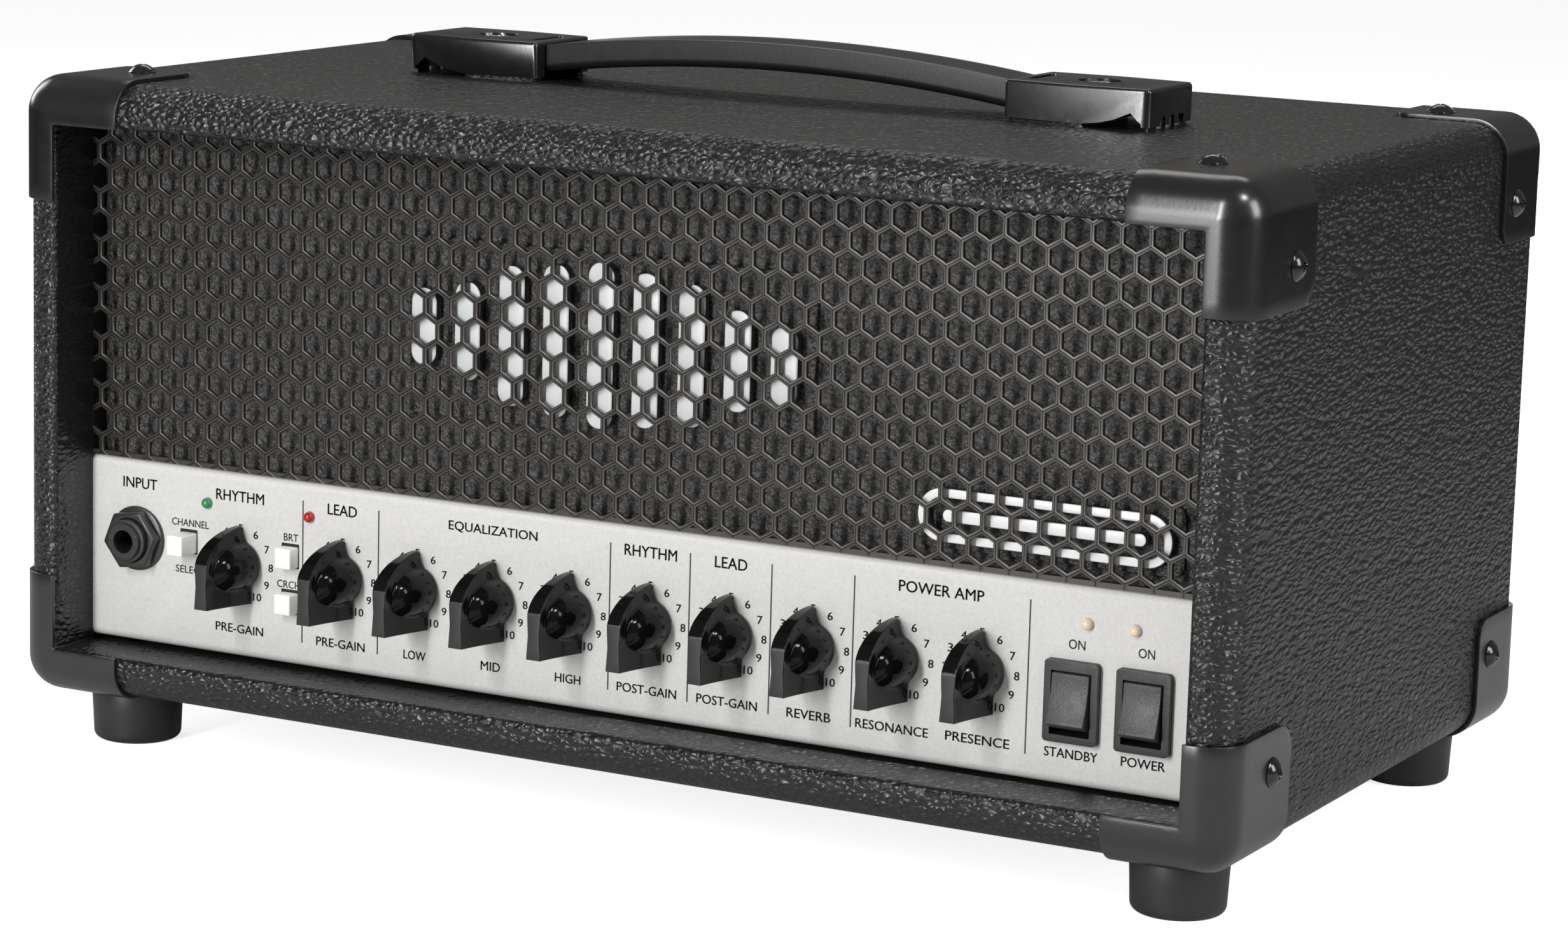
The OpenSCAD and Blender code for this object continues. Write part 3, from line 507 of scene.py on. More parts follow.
# ---------------------------------------------------------------- corner protectors
def guard_mesh(depth, corner_r, leg=0.0327):
    """The protector for the right upper corner: x and z outwards, +y along the cabinet from its end."""
    grow, big, end = GUARD_T, EDGE_R + GUARD_T, -leg
    profile = [(-grow, WALL + grow, end), (-grow, (WALL + big) / 2 + grow / 2, end), (-grow, big, end)]
    profile += [(-grow + big * (1 - math.cos(t)), big * (1 - math.sin(t)), end) for t in quarter(12, 1)]
    straight = depth - corner_r
    profile += [((big - grow) + (straight - big + grow) * k / 5, 0.0, end) for k in range(1, 6)]
    profile += [(straight + corner_r * math.sin(t), 0.0, end + corner_r * (1 - math.cos(t)))
                for t in quarter(8, 1)]
    bm = bmesh.new()
    rows = []
    for y, inset, stop in profile:
        radius = max(big - inset, 0.0007)
        out = grow - inset
        centre = out - radius
        row = [(stop + (centre - stop) * k / 6, out) for k in range(6)]
        row += [(centre + radius * math.sin(a), centre + radius * math.cos(a)) for a in quarter(10)]
        row += [(out, centre + (stop - centre) * k / 6) for k in range(1, 7)]
        rows.append([bm.verts.new((x, y, z)) for x, z in row])
    for a, b in zip(rows, rows[1:]):
        for i in range(len(a) - 1):
            bm.faces.new([a[i], a[i + 1], b[i + 1], b[i]])
    mesh = bpy.data.meshes.new("guard")
    bm.to_mesh(mesh)
    bm.free()
    middle = Vector((-leg / 2, depth / 2, -leg / 2))
    outward = sum(p.normal.dot(p.center - middle) for p in mesh.polygons) > 0
    thicken = {"thickness": GUARD_T - 0.00004, "offset": -1 if outward else 1, "use_even_offset": True}
    return baked(mesh, ("SOLIDIFY", thicken), edge_bevel(0.0004, 3, 50), WEIGHTED)


def protectors():
    for name, sy, depth, corner_r in (("front_guards", -1, 0.0385, 0.008),
                                      ("rear_guards", 1, 0.0338, 0.005)):
        one = guard_mesh(depth, corner_r)
        parts = []
        for sx in (-1, 1):
            for sz in (-1, 1):
                place = move(sx * HX, sy * REAR, MID_Z + sz * HZ) @ Matrix.Diagonal((sx, -sy, sz, 1))
                parts.append((one, place, 0))
        node = "front_corner_protectors" if sy < 0 else "rear_corner_protectors"
        link_piece(name, joined(name, parts), "protector", replaces=[node])


# ---------------------------------------------------------------- screws and feet
def cross_meshes(reach, width, depth, top):
    """Two crossed tapering blades, as separate cutters for a screw's recess."""
    out = []
    for a in (0, math.pi / 2):
        rings = [[(-h, -w / 2, z), (h, -w / 2, z), (h, w / 2, z), (-h, w / 2, z)]
                 for z, h, w in ((top + 0.001, reach, width), (top - depth, reach * 0.35, width * 0.6))]
        bm = bmesh.new()
        turn = Matrix.Rotation(a, 3, "Z")
        v = [[bm.verts.new(turn @ Vector(p)) for p in ring] for ring in rings]
        for i in range(4):
            j = (i + 1) % 4
            bm.faces.new([v[0][i], v[0][j], v[1][j], v[1][i]])
        bm.faces.new(v[0])
        bm.faces.new(v[1])
        out.append(from_bm(bm, "blade"))
    return out


def dome_screw(radius, height, under=0.0008):
    """A domed screw head with a cross recess, standing on z = 0."""
    ball = (radius * radius + height * height) / (2 * height)
    full = math.asin(radius / ball)
    profile = [(0.0, -under), (radius - 0.0004, -under), (radius - 0.0002, 0.0), (radius, 0.0002)]
    for k in range(1, 13):
        a = full * (1 - k / 12)
        profile.append((ball * math.sin(a), height - ball + ball * math.cos(a)))
    profile[-1] = (0.0, height)
    head = lathe(profile, 40, "screw_head")
    cuts = cross_meshes(radius * 0.56, 0.00105, height * 0.8, height)
    return baked(head, edge_bevel(0.00008, 1, 40), WEIGHTED, cutters=cuts)


def corner_screws():
    head = dome_screw(0.0039, 0.0024 - 0.00005)
    spots = []
    side, ys = 0.0219, (FRONT + 0.0261, REAR - 0.0246)
    for i, sx in enumerate((-1, 1)):
        for j, y in enumerate(ys):
            twist = Matrix.Rotation(0.4 + 0.7 * i + 1.1 * j, 4, "Z")
            spots.append(move(sx * (HX - side), y, TOP + GUARD_T) @ twist)
            for k, z in enumerate((BASE + side, TOP - side)):
                turn = Matrix.Rotation(sx * math.pi / 2, 4, "Y") @ Matrix.Rotation(0.3 + 0.9 * k + i, 4, "Z")
                spots.append(move(sx * (HX + GUARD_T), y, z) @ turn)
    mesh = joined("corner_screw_heads", [(head, m, 0) for m in spots])
    link_piece("corner_screw_heads", mesh, "black_screw", replaces=["corner_screws"])


def cross_down(reach, width):
    """Two crossed straight blades, as cutters for a bolt head that faces down."""
    out = []
    for a in (0, math.pi / 2):
        m = prism(rounded(2 * reach, width, width * 0.3, steps=3), 0.0, 0.0066, "blade")
        m.transform(Matrix.Rotation(a, 4, "Z"))
        out.append(m)
    return out


def feet():
    r, top = 0.0128, BASE - GUARD_T
    profile = [(0.0, 0.0080), (0.0054, 0.0080), (0.0054, 0.0007), (0.0057, 0.0002), (0.0063, 0.0)]
    profile += [(r - 0.0028 + 0.0022 * math.sin(a), 0.0022 - 0.0022 * math.cos(a)) for a in quarter(8)]
    profile += [(r - 0.0003, 0.009), (r, top - 0.0012), (r - 0.0003, top - 0.0003), (r - 0.0008, top),
                (0.0, top)]
    foot = lathe(profile, 72, "foot")
    head = [(0.0, 0.0079), (0.0044, 0.0079), (0.0044, 0.0062), (0.0038, 0.0055), (0.0, 0.0052)]
    bolt = baked(lathe(head, 40, "foot_bolt"), cutters=cross_down(0.0024, 0.0011))
    in_x, in_y = 0.0217, 0.025
    spots = [move(sx * (HX - in_x), sy * (REAR - in_y), 0) for sx in (-1, 1) for sy in (-1, 1)]
    for name, mesh, slot, node in (("feet", foot, "foot_rubber", "rubber_feet"),
                                   ("foot_bolts", bolt, "zinc", "foot_screws")):
        link_piece(name, joined(name, [(mesh, m, 0) for m in spots]), slot, replaces=[node])


# ---------------------------------------------------------------- handle
def strap():
    cap_in, rise, crown, thick, width, reach = 0.072, 0.0051, 0.01515, 0.0076, 0.019, 0.0848
    radius = (cap_in ** 2 + rise ** 2) / (2 * rise)
    half = math.asin(reach / radius)
    base = TOP + crown - radius
    u = width / 2
    side = [(0.0, 0.0), (u - 0.0025, 0.0)]
    side += [(u - 0.0025 + 0.0025 * math.sin(a), 0.0025 - 0.0025 * math.cos(a)) for a in quarter(6, 1)]
    # a round edge, then a groove that runs along it
    side += [(u - inwards * MM, thick - down * MM) for inwards, down in
             ((0, 0.7), (0.2, 0.2), (0.7, 0), (1.1, 0.05), (1.4, 0.4), (1.7, 0.4), (2.1, 0.1), (2.6, 0.05))]
    side.append((0.0, thick))
    section = side + [(-a, b) for a, b in reversed(side[1:-1])]
    bm = bmesh.new()
    rings = []
    steps = 72
    for k in range(steps + 1):
        t = half * (2 * k / steps - 1)
        ring = []
        for lateral, height in section:
            rr = radius - thick + height
            ring.append(bm.verts.new((rr * math.sin(t), lateral, base + rr * math.cos(t))))
        rings.append(ring)
    band(bm, rings)
    bm.faces.new(rings[0])
    bm.faces.new(rings[-1])
    # the ends stay above the cabinet's top
    floor = TOP + 0.0005
    for v in bm.verts:
        v.co.z = max(v.co.z, floor)
    link_piece("strap", baked(from_bm(bm, "strap", 40), WEIGHTED), "strap", replaces=["handle_strap"])


def cap_outline(shrink, corner_r=0.0022):
    """The cap's plan: widest at the bolt, narrower at both ends, with small rounds at the four corners."""
    hl, end, mid = 0.021 - shrink, 0.0145 - shrink, 0.016 - shrink
    knots = [(-hl, -end), (0, -mid), (hl, -end), (hl, end), (0, mid), (-hl, end)]
    outline = []
    for i, (x, y) in enumerate(knots):
        if x == 0:
            outline.append((x, y))
            continue
        corner = Vector((x, y))
        r = corner_r if x > 0 else 0.0012
        a = (Vector(knots[i - 1]) - corner).normalized() * r
        b = (Vector(knots[(i + 1) % 6]) - corner).normalized() * r
        for k in range(6):
            t = k / 5
            q = (corner + a) * (1 - t) ** 2 + corner * 2 * t * (1 - t) + (corner + b) * t ** 2
            outline.append((q.x, q.y))
    return outline


def cap_mesh():
    """The right cap, centred on its bolt, inner end towards -x, standing on z = 0."""
    height, skirt, hl = 0.011, 0.001, 0.021
    above = height + 0.001
    body = baked(prism(cap_outline(0), 0.0, height, "cap"), edge_bevel(0.0016, 5, 60))
    step = baked(prism(rounded(0.06, 0.05, 0.002), -0.002, skirt, "skirt"),
                 cutters=[prism(cap_outline(0.001), -0.003, 0.003, "core")])
    low = height - 0.0024
    recess = lathe([(0, low), (0.0058, low), (0.0058, above), (0, above)], 64, "recess")
    slot = prism(rounded(0.0026, 0.016, 0.0012), height - 0.0012, above, "slot")
    slot.transform(move(-hl + 0.0047, 0, 0))
    notches = [prism(rounded(0.0065, 0.0033, 0.0006, hl, y), -0.001, 0.0034, "notch")
               for y in (-0.006, 0.0, 0.006)]
    channel = prism(rounded(2 * 0.0138, 0.02, 0.0005, -hl, 0), -0.001, height - 0.0008, "channel")
    arch = [(2, -1), (2, 1), (7, 1.6), (11, 2.6), (15.6, 4.6), (17.6, 2.6), (18.6, 2), (18.6, -1)]
    hollow = prism([(x * MM, z * MM) for x, z in arch], -0.03, 0.03, "arch", "y")
    return baked(body, edge_bevel(0.00028, 2, 40), WEIGHTED,
                 cutters=[step, recess, slot, *notches, channel, hollow], angle=30)


def handle():
    strap()
    cap = cap_mesh()
    mid = 0.093
    for side, sx in (("right", 1), ("left", -1)):
        place = move(sx * mid, 0, TOP) @ Matrix.Diagonal((sx, 1, 1, 1))
        link_piece("cap_" + side, joined("cap_" + side, [(cap, place, 0)]), "handle_cap",
                   replaces=["handle_cap_" + side])
    dome = [(0, 0), (0.0046, 0), (0.0046, 0.0011), (0.0042, 0.0016), (0.003, 0.00195), (0, 0.00205)]
    head = baked(lathe(dome, 40, "bolt_head"), WEIGHTED, cutters=cross_meshes(0.0026, 0.0011, 0.0014, 0.002))
    spots = [(head, move(sx * mid, 0, TOP + 0.0086) @ Matrix.Rotation(0.5 + sx, 4, "Z"), 0)
             for sx in (-1, 1)]
    nut = baked(prism(hexagon(0.0046), 0, 0.003, "handle_nut"), edge_bevel(0.0004, 2))
    spots += [(nut, move(sx * mid, 0, TOP - WALL - 0.003), 0) for sx in (-1, 1)]
    link_piece("handle_bolts", joined("handle_bolts", spots), "zinc", replaces=["handle_screws"])


# ---------------------------------------------------------------- grille, backing, emblem
def grille():
    """Pointed hexagons in a sheet, the field turned a touch, with plain strips above and below."""
    pitch, row_pitch, web, thick = 0.00787, 0.0068, 0.0015, grille_hi.y - grille_lo.y
    outer, hole, soft = pitch / math.sqrt(3), (pitch - web) / math.sqrt(3), 0.00028
    levels = [(outer + 0.0001, 0.0)]
    levels += [(hole + soft * 1.15 * (1 - math.sin(t)), soft * (1 - math.cos(t))) for t in quarter(3)]
    levels += [(hole, thick - 0.0001), (outer + 0.0001, thick)]
    bm = bmesh.new()
    turn = math.radians(0.58)
    mid_x, mid_z = 0.00195, OPEN_Z + 0.139
    for row in range(-2, 14):
        for col in range(-24, 24):
            p, q = (col + 0.5 * (row % 2)) * pitch, -row * row_pitch
            cx = mid_x + p * math.cos(turn) - q * math.sin(turn)
            cz = mid_z + p * math.sin(turn) + q * math.cos(turn)
            ways = [math.pi / 3 * k - turn for k in range(6)]
            corners = [(math.sin(a), math.cos(a)) for a in ways]
            rings = [[bm.verts.new((cx + r * sx, PANEL_Y + y, cz + r * sz)) for sx, sz in corners]
                     for r, y in levels]
            band(bm, rings)
    for place, side in (((grille_lo.x, 0, 0), (-1, 0, 0)), ((grille_hi.x, 0, 0), (1, 0, 0)),
                        ((0, 0, grille_lo.z), (0, 0, -1)), ((0, 0, grille_hi.z), (0, 0, 1))):
        bmesh.ops.bisect_plane(bm, geom=bm.verts[:] + bm.edges[:] + bm.faces[:], plane_co=place,
                               plane_no=side, clear_outer=True, dist=1e-6)
    parts = [(from_bm(bm, "grille_field", 40), HERE, 0)]
    lip, x0, x1 = 0.00003, grille_lo.x, grille_hi.x
    for z0, z1 in ((grille_lo.z, OPEN_Z + 0.0540), (OPEN_Z + 0.1440, grille_hi.z)):
        corners = [(x0, z0), (x1, z0), (x1, z1), (x0, z1)]
        parts.append((prism(corners, PANEL_Y + lip, PANEL_Y + thick - lip, "strip", "y"), HERE, 0))
    link_piece("grille_sheet", joined("grille_sheet", parts), "grille", replaces=["front_grille"])


def backing():
    lo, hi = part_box("grille_backing")
    outline = rounded(hi.x - lo.x, hi.z - lo.z, 0.001, 0, (lo.z + hi.z) / 2, 3)
    mesh = baked(prism(outline, lo.y, hi.y, "backing_sheet", "y"))
    link_piece("backing_sheet", mesh, "backing", replaces=["grille_backing"])


def raised(outline, y_face, depth, soft=0.0005):
    """A raised shape on the x-z plane, facing -Y, with soft edges."""
    mesh = prism(outline, y_face, y_face + depth, "raised", "y")
    return baked(mesh, edge_bevel(soft, 3, 60), WEIGHTED, angle=50)


def paint_faces(mesh):
    """Material 0 on what faces the front, and 1 on the rest."""
    for p in mesh.polygons:
        p.material_index = 0 if p.normal.y < -0.5 else 1
    return mesh


SIGN_DEPTH = 0.0032  # how far the emblem's and the badge's shapes stand off their plates


def emblem():
    lo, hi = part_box("front_emblem")
    cz, cx = (lo.z + hi.z) / 2, (lo.x + hi.x) / 2
    parts = []
    for i in range(-4, 5):
        tall = 16 + 28 * math.cos(math.radians(i * 20 + 8 * math.fmod(i, 2)))
        shape = rounded(0.0079, tall * MM, 0.0038, cx + i * 0.0136, cz, 10)
        parts.append((paint_faces(raised(shape, lo.y, SIGN_DEPTH)), HERE, None))
    plate = raised(rounded(hi.x - lo.x, hi.z - lo.z, 0.003, cx, cz), hi.y - 0.0012, 0.0012, 0.0003)
    parts.append((plate, HERE, 2))
    link_piece("wave_emblem", joined("wave_emblem", parts), "emblem", replaces=["front_emblem"],
               mats=("emblem_face", "gloss_dark", "carrier"))


def badge():
    lo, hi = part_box("badge")
    cz, cx = (lo.z + hi.z) / 2, (lo.x + hi.x) / 2
    ring = prism(rounded(0.0698, 0.0138, 0.0068, cx, cz, 12), lo.y, lo.y + SIGN_DEPTH, "ring", "y")
    cut = prism(rounded(0.065, 0.009, 0.0044, cx, cz, 12), lo.y - 0.001, lo.y + 0.005, "cut", "y")
    ring = baked(ring, edge_bevel(0.0004, 3, 60), WEIGHTED, cutters=[cut], angle=50)
    bar = raised(rounded(0.0558, 0.0033, 0.0016, cx, cz, 10), lo.y, SIGN_DEPTH, 0.0004)
    plate = raised(rounded(hi.x - lo.x, hi.z - lo.z, 0.003, cx, cz), hi.y - 0.0012, 0.0012, 0.0003)
    parts = [(paint_faces(ring), HERE, None), (paint_faces(bar), HERE, None), (plate, HERE, 2)]
    link_piece("oval_badge", joined("oval_badge", parts), "badge", replaces=["badge"],
               mats=("badge_face", "gloss_dark", "carrier"))


# ---------------------------------------------------------------- knobs
KNOBS = ["rhythm_gain", "lead_gain", "low", "mid", "high", "rhythm_level", "lead_level", "reverb",
         "resonance", "presence"]
KNOB_TAIL = 0.0106  # from the knob's axis to the end of its tail
KNOB_H, KNOB_BASE_R = 18.8, 6.85  # mm, as is everything in knob_mesh


def knob_mesh():
    """A pointer knob along +Z: a domed round base under a fin whose back arches down to the nose at +y."""
    lift, arch_y, arch_r = 0.8, 1.7, 9.15
    levels = [0.8, 1.0, 1.4, 2.2, 3.2, 4.4, 5.6, 6.8, 8.0, 9.2, 10.4, 11.6, 12.7, 13.7, 14.6, 15.4, 16.1,
              16.7, 17.2, 17.6, 17.95, 18.25, 18.5, 18.68, 18.8]

    def nose(h):
        return arch_y + arch_r * math.sqrt(max(0.0, 1 - (h / (KNOB_H + 0.02)) ** 2))

    def outline(h):
        t = (h - lift) / (KNOB_H - lift)
        half = 2.15 + 2.05 * (1 - t) ** 1.6
        tail = -(10.55 - 0.85 * t)
        tip = nose(h)
        narrow = 0.65 + 1.35 * t ** 0.7
        waist = half * (0.97 - 0.17 * t)
        rise = max(0.0, h - 4.5) / (KNOB_H - 7.3)
        dome = KNOB_BASE_R * math.sqrt(1 - rise * rise) if rise < 1 else 0.0
        origin = Vector((0.0, -4.0))
        knots = [Vector(p) for p in ((half, tail), (waist, -3.4), (max(waist, narrow), min(1.0, tip - 0.4)),
                                     (narrow, tip))]

        def reach(direction):
            """How far the outline is from its origin: the fin or the dome, blended where they are close."""
            best = 0.0
            for a, b in zip(knots, knots[1:]):
                edge, off = b - a, a - origin
                cross = direction.x * edge.y - direction.y * edge.x
                if abs(cross) < 1e-9:
                    continue
                s = (off.x * edge.y - off.y * edge.x) / cross
                q = (off.x * direction.y - off.y * direction.x) / cross
                if s > 0 and -1e-6 <= q <= 1 + 1e-6:
                    best = max(best, s)
            ball = 0.0
            if dome > 0:
                b = -origin.dot(direction)
                under = b * b - origin.length_squared + dome * dome
                if under > 0:
                    ball = b + math.sqrt(under)
            if ball <= 0:
                return best
            gap = max(1.0 - abs(best - ball), 0)
            return max(best, ball) + gap * gap * 0.25

        corner_a, corner_b = knots[0] - origin, knots[-1] - origin
        a0, a1 = math.atan2(corner_a.x, -corner_a.y), math.atan2(corner_b.x, -corner_b.y)
        flank, count = [], 48
        for i in range(count + 1):
            a = a0 + (a1 - a0) * i / count
            d = Vector((math.sin(a), -math.cos(a)))
            flank.append(origin + d * reach(d))
        flank[0], flank[-1] = knots[0], knots[-1]
        ring = list(flank)
        ring += [Vector((narrow * (1 - 2 * k / 6), tip)) for k in range(1, 6)]
        ring += [Vector((-p.x, p.y)) for p in reversed(flank)]
        ring += [Vector((-half * (1 - 2 * k / 6), tail)) for k in range(1, 6)]
        return ring

    bm = bmesh.new()
    rings = [[bm.verts.new((p.x * MM, p.y * MM, h * MM)) for p in outline(h)] for h in levels]
    band(bm, rings)
    bm.faces.new(list(reversed(rings[0])))
    bm.faces.new(rings[-1])
    mesh = baked(from_bm(bm, "pointer_knob", 34), edge_bevel(0.0004, 3, 34), WEIGHTED, angle=60)
    for face in mesh.polygons:
        if face.normal.z > 0.97 and face.center.z > (KNOB_H - 0.25) * MM:
            face.material_index = 2
    return mesh


def knobs():
    mesh = knob_mesh()
    shaft = lathe([(0, -0.004), (0.003, -0.004), (0.003, 0.0078), (0, 0.0078)], 32, "shaft")
    whole = joined("pointer_knob_and_shaft", [(mesh, HERE, None), (shaft, HERE, 1)])
    for key in ("knob", "pot_metal", "knob_face"):
        whole.materials.append(M[key])
    for name in KNOBS:
        node = name + "_knob"
        lo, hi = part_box(node)
        place = move((lo.x + hi.x) / 2, PANEL_Y, lo.z + KNOB_TAIL) @ to_front()
        link_piece(name + "_pointer", whole, "knob", body=node, replaces=[node], place=place)


# ---------------------------------------------------------------- buttons, rockers, lamps, jack
def buttons():
    for name in ("channel", "bright", "crunch"):
        node = name + "_button"
        lo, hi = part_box(node)
        w, h = hi.x - lo.x, hi.z - lo.z
        cap = prism(rounded(w, h, 0.0004, 0, 0, 3), lo.y, lo.y + 0.0119, "cap", "y")
        cap = baked(cap, edge_bevel(0.0004, 3, 50), WEIGHTED)
        rod = prism(rounded(0.003, 0.003, 0.0005, steps=3), lo.y + 0.0118, hi.y, "rod", "y")
        place = move((lo.x + hi.x) / 2, 0, (lo.z + hi.z) / 2)
        mesh = joined(name + "_cap", [(cap, place, 0), (rod, place, 0)])
        link_piece(name + "_cap", mesh, "button", body=node, replaces=[node])
        # painted shade: a black sheet on the panel's face, a little larger than the cap and set a touch
        # higher, stands for the shadowed gap of the slot around the cap
        slot = sheet(w + 0.0005, h + 0.0011)
        slot.materials.append(M["hole"])
        link_piece(name + "_painted_slot_shade", slot, "black_plastic",
                   place=move((lo.x + hi.x) / 2, PANEL_Y - 0.00003, (lo.z + hi.z) / 2 + 0.0003) @ to_front())


def rocker_profile():
    """Side view of the paddle about its pivot, as (y, z): two slightly hollow faces that meet in a V."""
    top = []
    for k in range(9):
        t = k / 8
        top.append((-0.0062 + 0.00075 * t + 0.00022 * math.sin(math.pi * t), 0.00645 * (1 - t)))
    low = [(y, -z) for y, z in reversed(top[:-1])]
    return top + low + [(-0.0040, -0.0071), (0.0012, -0.0074), (0.0012, 0.0074), (-0.0040, 0.0071)]


ROCKER_REST = -13.5  # the paddle's tilt at rest, in degrees


def rockers():
    drop, pivot_in = 0.0004, 0.0041
    for name in ("standby", "power"):
        lo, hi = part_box(name + "_frame")
        cx, cz = (lo.x + hi.x) / 2, (lo.z + hi.z) / 2
        rim = prism(rounded(hi.x - lo.x, hi.z - lo.z, 0.0010, cx, cz), lo.y, lo.y + 0.002, "rim", "y")
        body = prism(rounded(0.0126, 0.0198, 0.0005, cx, cz), lo.y + 0.0015, hi.y, "body", "y")
        cut = prism(rounded(0.011, 0.0164, 0.0003, cx, cz - drop), lo.y - 0.001, lo.y + 0.008, "cut", "y")
        rim = baked(rim, edge_bevel(0.00045, 3, 50), WEIGHTED, cutters=[cut])
        body = baked(body, cutters=[cut])
        mesh = joined(name + "_bezel", [(rim, HERE, 0), (body, HERE, 0)])
        link_piece(name + "_bezel", mesh, "black_plastic", replaces=[name + "_frame"])
        node = name + "_rocker"
        paddle = prism(rocker_profile(), -0.0051, 0.0051, "paddle", "x")
        paddle = baked(paddle, edge_bevel(0.0003, 3, 25), WEIGHTED, angle=20)
        pin = lathe([(0, -0.0058), (0.001, -0.0058), (0.001, 0.0058), (0, 0.0058)], 24, "pin")
        pivot = move(cx, lo.y + pivot_in, cz - drop) @ Matrix.Rotation(math.radians(ROCKER_REST), 4, "X")
        across = Matrix.Rotation(math.pi / 2, 4, "Y")
        mesh = joined(name + "_paddle", [(paddle, pivot, 0), (pin, pivot @ across, 0)])
        link_piece(name + "_paddle", mesh, "rocker", body=node, replaces=[node])


def lamps():
    profile = [(0.0, -0.0055), (0.0015, -0.0055)]
    profile += [(0.0015 * math.cos(a), 0.0006 + 0.00145 * math.sin(a)) for a in quarter(8)]
    profile[-1] = (0.0, profile[-1][1])
    dome = lathe(profile, 36, "lamp_dome")
    spots = {"rhythm_led": [-0.1302], "lead_led": [-0.0965], "valve_status_leds": [0.1351, 0.1481]}
    keys = {"rhythm_led": "led_green", "lead_led": "led_red", "valve_status_leds": "led_clear"}
    for node, xs in spots.items():
        parts = [(dome, move(x, PANEL_Y, OPEN_Z + 0.043) @ to_front(), 0) for x in xs]
        link_piece(node + "_dome", joined(node + "_dome", parts), keys[node], replaces=[node])


def socket_parts(flange_r, flange_t, hex_t):
    """Flange and chamfered hex nut around a socket's bore, along +Z from the panel's face."""
    bore_r, soft = 0.0061, 0.0003
    side = [(flange_r - soft, 0.0), (flange_r, soft), (flange_r - 0.0002, flange_t * 0.8),
            (flange_r - 2 * soft, flange_t)]
    flange = lathe([(bore_r, 0.0), *side, (bore_r, flange_t)], 64, "flange")
    nut = prism(hexagon(flange_r - 0.00035, math.radians(8)), flange_t, flange_t + hex_t, "hex")
    bore = lathe([(0, -0.01), (bore_r, -0.01), (bore_r, 0.03), (0, 0.03)], 48, "bore")
    return flange, baked(nut, edge_bevel(0.0005, 2, 40), WEIGHTED, cutters=[bore])


def front_jack():
    lo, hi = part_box("input_jack_nut")
    cx, cz = (lo.x + hi.x) / 2, (lo.z + hi.z) / 2
    place = move(cx, PANEL_Y, cz) @ to_front()
    parts = [(part, place, 0) for part in socket_parts(0.0091, 0.0012, 0.0031)]
    link_piece("input_nut", joined("input_nut", parts), "black_plastic", replaces=["input_jack_nut"],
               mats=("jack_black",))
    dress("input_jack", "black_plastic", 0.0002)


# ---------------------------------------------------------------- printing on the panel
STROKE_SPREAD = 0.00014
DIAL_R = 10.0  # mm from a knob's axis to its numbers


def word_mesh(text, width, cap):
    """A word as a flat mesh, centred, with a set width and letter height."""
    curve = bpy.data.curves.new("word", "FONT")
    curve.body = text
    curve.align_x, curve.align_y = "CENTER", "CENTER"
    curve.resolution_u = 3
    obj = bpy.data.objects.new("word", curve)
    scene.collection.objects.link(obj)
    graph = bpy.context.evaluated_depsgraph_get()
    mesh = bpy.data.meshes.new_from_object(obj.evaluated_get(graph))
    bpy.data.objects.remove(obj)
    xs, ys = [v.co.x for v in mesh.vertices], [v.co.y for v in mesh.vertices]
    fit = Matrix.Diagonal((width / (max(xs) - min(xs)), cap / (max(ys) - min(ys)), 1, 1))
    mesh.transform(fit @ move(-(max(xs) + min(xs)) / 2, -(max(ys) + min(ys)) / 2, 0))
    # two copies a hair apart make the strokes bolder
    half = STROKE_SPREAD / 2
    return joined("word", [(mesh, move(-half, -half / 2, 0), 0), (mesh, move(half, half / 2, 0), 0)])


